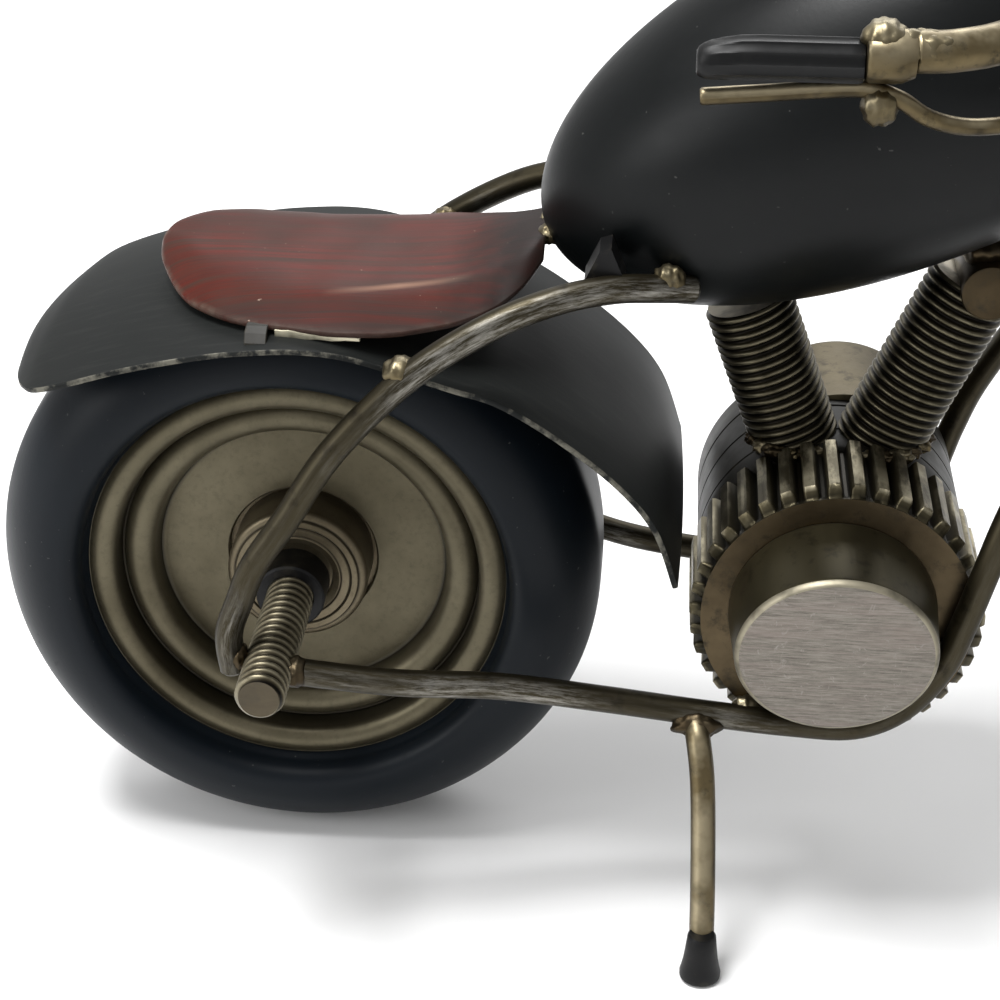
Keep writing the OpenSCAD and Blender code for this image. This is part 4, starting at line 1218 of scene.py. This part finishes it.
gl.set(Transmission_Weight=0.9, IOR=1.45)
gn = gl.noise(gl.obj(), 300, 2, 0.5)
wv = gl.t.nodes.new("ShaderNodeTexWave")
wv.inputs["Scale"].default_value = 190
wv.bands_direction = "Y"
gl.link(gl.obj(), wv.inputs["Vector"])
gl.out(gl.mix(gn, (0.93, 0.94, 0.93), (0.86, 0.87, 0.85)), gl.math("ADD", 0.05, gl.math("MULTIPLY", gn, 0.06)), None, gl.bump(wv.outputs["Fac"], 0.0002, 0.5))
MT["glass"] = gl.m
p = [(0, 8.3), (13.0, 8.3), (13.3, 8.5), (13.3, 10.0)] + [(13.3 * math.sin(math.radians(a)), 10 + 2.35 * math.cos(math.radians(a))) for a in range(80, -1, -8)]
v, f, fl = revolve_mesh(p, 96, False, lc, axis="x")
make("lamp_glass", v, f, "fork", MT["glass"], ("lamp_lens",), fl, split=40)
# bulb inside
v, f, fl = revolve_mesh([(0, -0.9), (1.6, -0.9), (1.6, 1.4), (1.3, 1.8)] + [(2.1 * math.sin(math.radians(a)), 3.4 - 2.1 * math.cos(math.radians(a))) for a in range(40, 181, 14)], 32, False, lc, axis="x")
make("lamp_bulb", v, f, "fork", MT["refl"], (), fl)
pp0 = on_head(103.5, 10)
v, f, fl = tube_mesh([pp0, pp0 + V3(-2.0 * math.sin(math.radians(12)) * -1, 0, 5), pp0 + V3(-10 * math.sin(math.radians(12)), 0, 10 * math.cos(math.radians(12)))], 2.4, 24)
make("lamp_post_bar", v, f, "fork", MT["fork"], ("lamp_post",), fl, split=50)

# ------------------------------------------------------------------ stage, light, camera
def plane(name, pts, material):
    me = bpy.data.meshes.new(name)
    me.from_pydata(pts, [], [(0, 1, 2, 3)])
    me.materials.append(material)
    o = bpy.data.objects.new(name, me)
    bpy.context.scene.collection.objects.link(o)
    return o


fl_m = Mat("floor_pale")
fn_ = fl_m.noise(fl_m.obj(), 6, 2, 0.5)
fl_m.out(fl_m.mix(fn_, (0.93, 0.93, 0.93), (0.90, 0.90, 0.90)), fl_m.math("ADD", 0.9, fl_m.math("MULTIPLY", fn_, 0.05)))
plane("floor", [(-6, -6, -0.0002), (6, -6, -0.0002), (6, 6, -0.0002), (-6, 6, -0.0002)], fl_m.m)

world = bpy.data.worlds.new("studio")
bpy.context.scene.world = world
world.use_nodes = True
world.node_tree.nodes["Background"].inputs[0].default_value = (1, 1, 1, 1)
world.node_tree.nodes["Background"].inputs[1].default_value = 0.62


def area(name, loc, target, size, power, size_y=None, col=(1, 1, 1)):
    d = bpy.data.lights.new(name, "AREA")
    d.energy = power
    d.color = col
    d.shape = "RECTANGLE"
    d.size = size
    d.size_y = size_y or size
    o = bpy.data.objects.new(name, d)
    bpy.context.scene.collection.objects.link(o)
    o.location = loc
    o.rotation_euler = (Vector(target) - Vector(loc)).to_track_quat("-Z", "Y").to_euler()
    return o


area("key_top", (-0.35, -0.10, 1.0), (0, 0, 0.08), 0.45, 12, 0.35)
area("fill_left", (-0.9, -0.5, 0.45), (0, 0, 0.08), 0.35, 3.0, 0.5)
area("back_top", (0.1, 0.9, 0.8), (0, 0, 0.08), 0.9, 5, 0.4)
bpy.context.scene.view_settings.view_transform = "Standard"
bpy.context.scene.view_settings.look = "None"

az, el, roll = math.radians(4.2), math.radians(27.91), math.radians(0.4)
Cw = Vector(O + V3(67.2, -399.9, 223.3) * 0.001)
F_ = Vector((-math.sin(az) * math.cos(el), math.cos(az) * math.cos(el), -math.sin(el)))
R_ = F_.cross(Vector((0, 0, 1))).normalized()
U_ = R_.cross(F_).normalized()
R2 = math.cos(roll) * R_ + math.sin(roll) * U_
U2 = -math.sin(roll) * R_ + math.cos(roll) * U_
cam = bpy.data.cameras.new("cam")
cam.lens = 84.6
cam.sensor_width = 36
cam.clip_start = 0.01
cam.clip_end = 50
co_ = bpy.data.objects.new("cam", cam)
bpy.context.scene.collection.objects.link(co_)
co_.matrix_world = Matrix(((R2.x, U2.x, -F_.x, Cw.x), (R2.y, U2.y, -F_.y, Cw.y), (R2.z, U2.z, -F_.z, Cw.z), (0, 0, 0, 1)))
bpy.context.scene.camera = co_
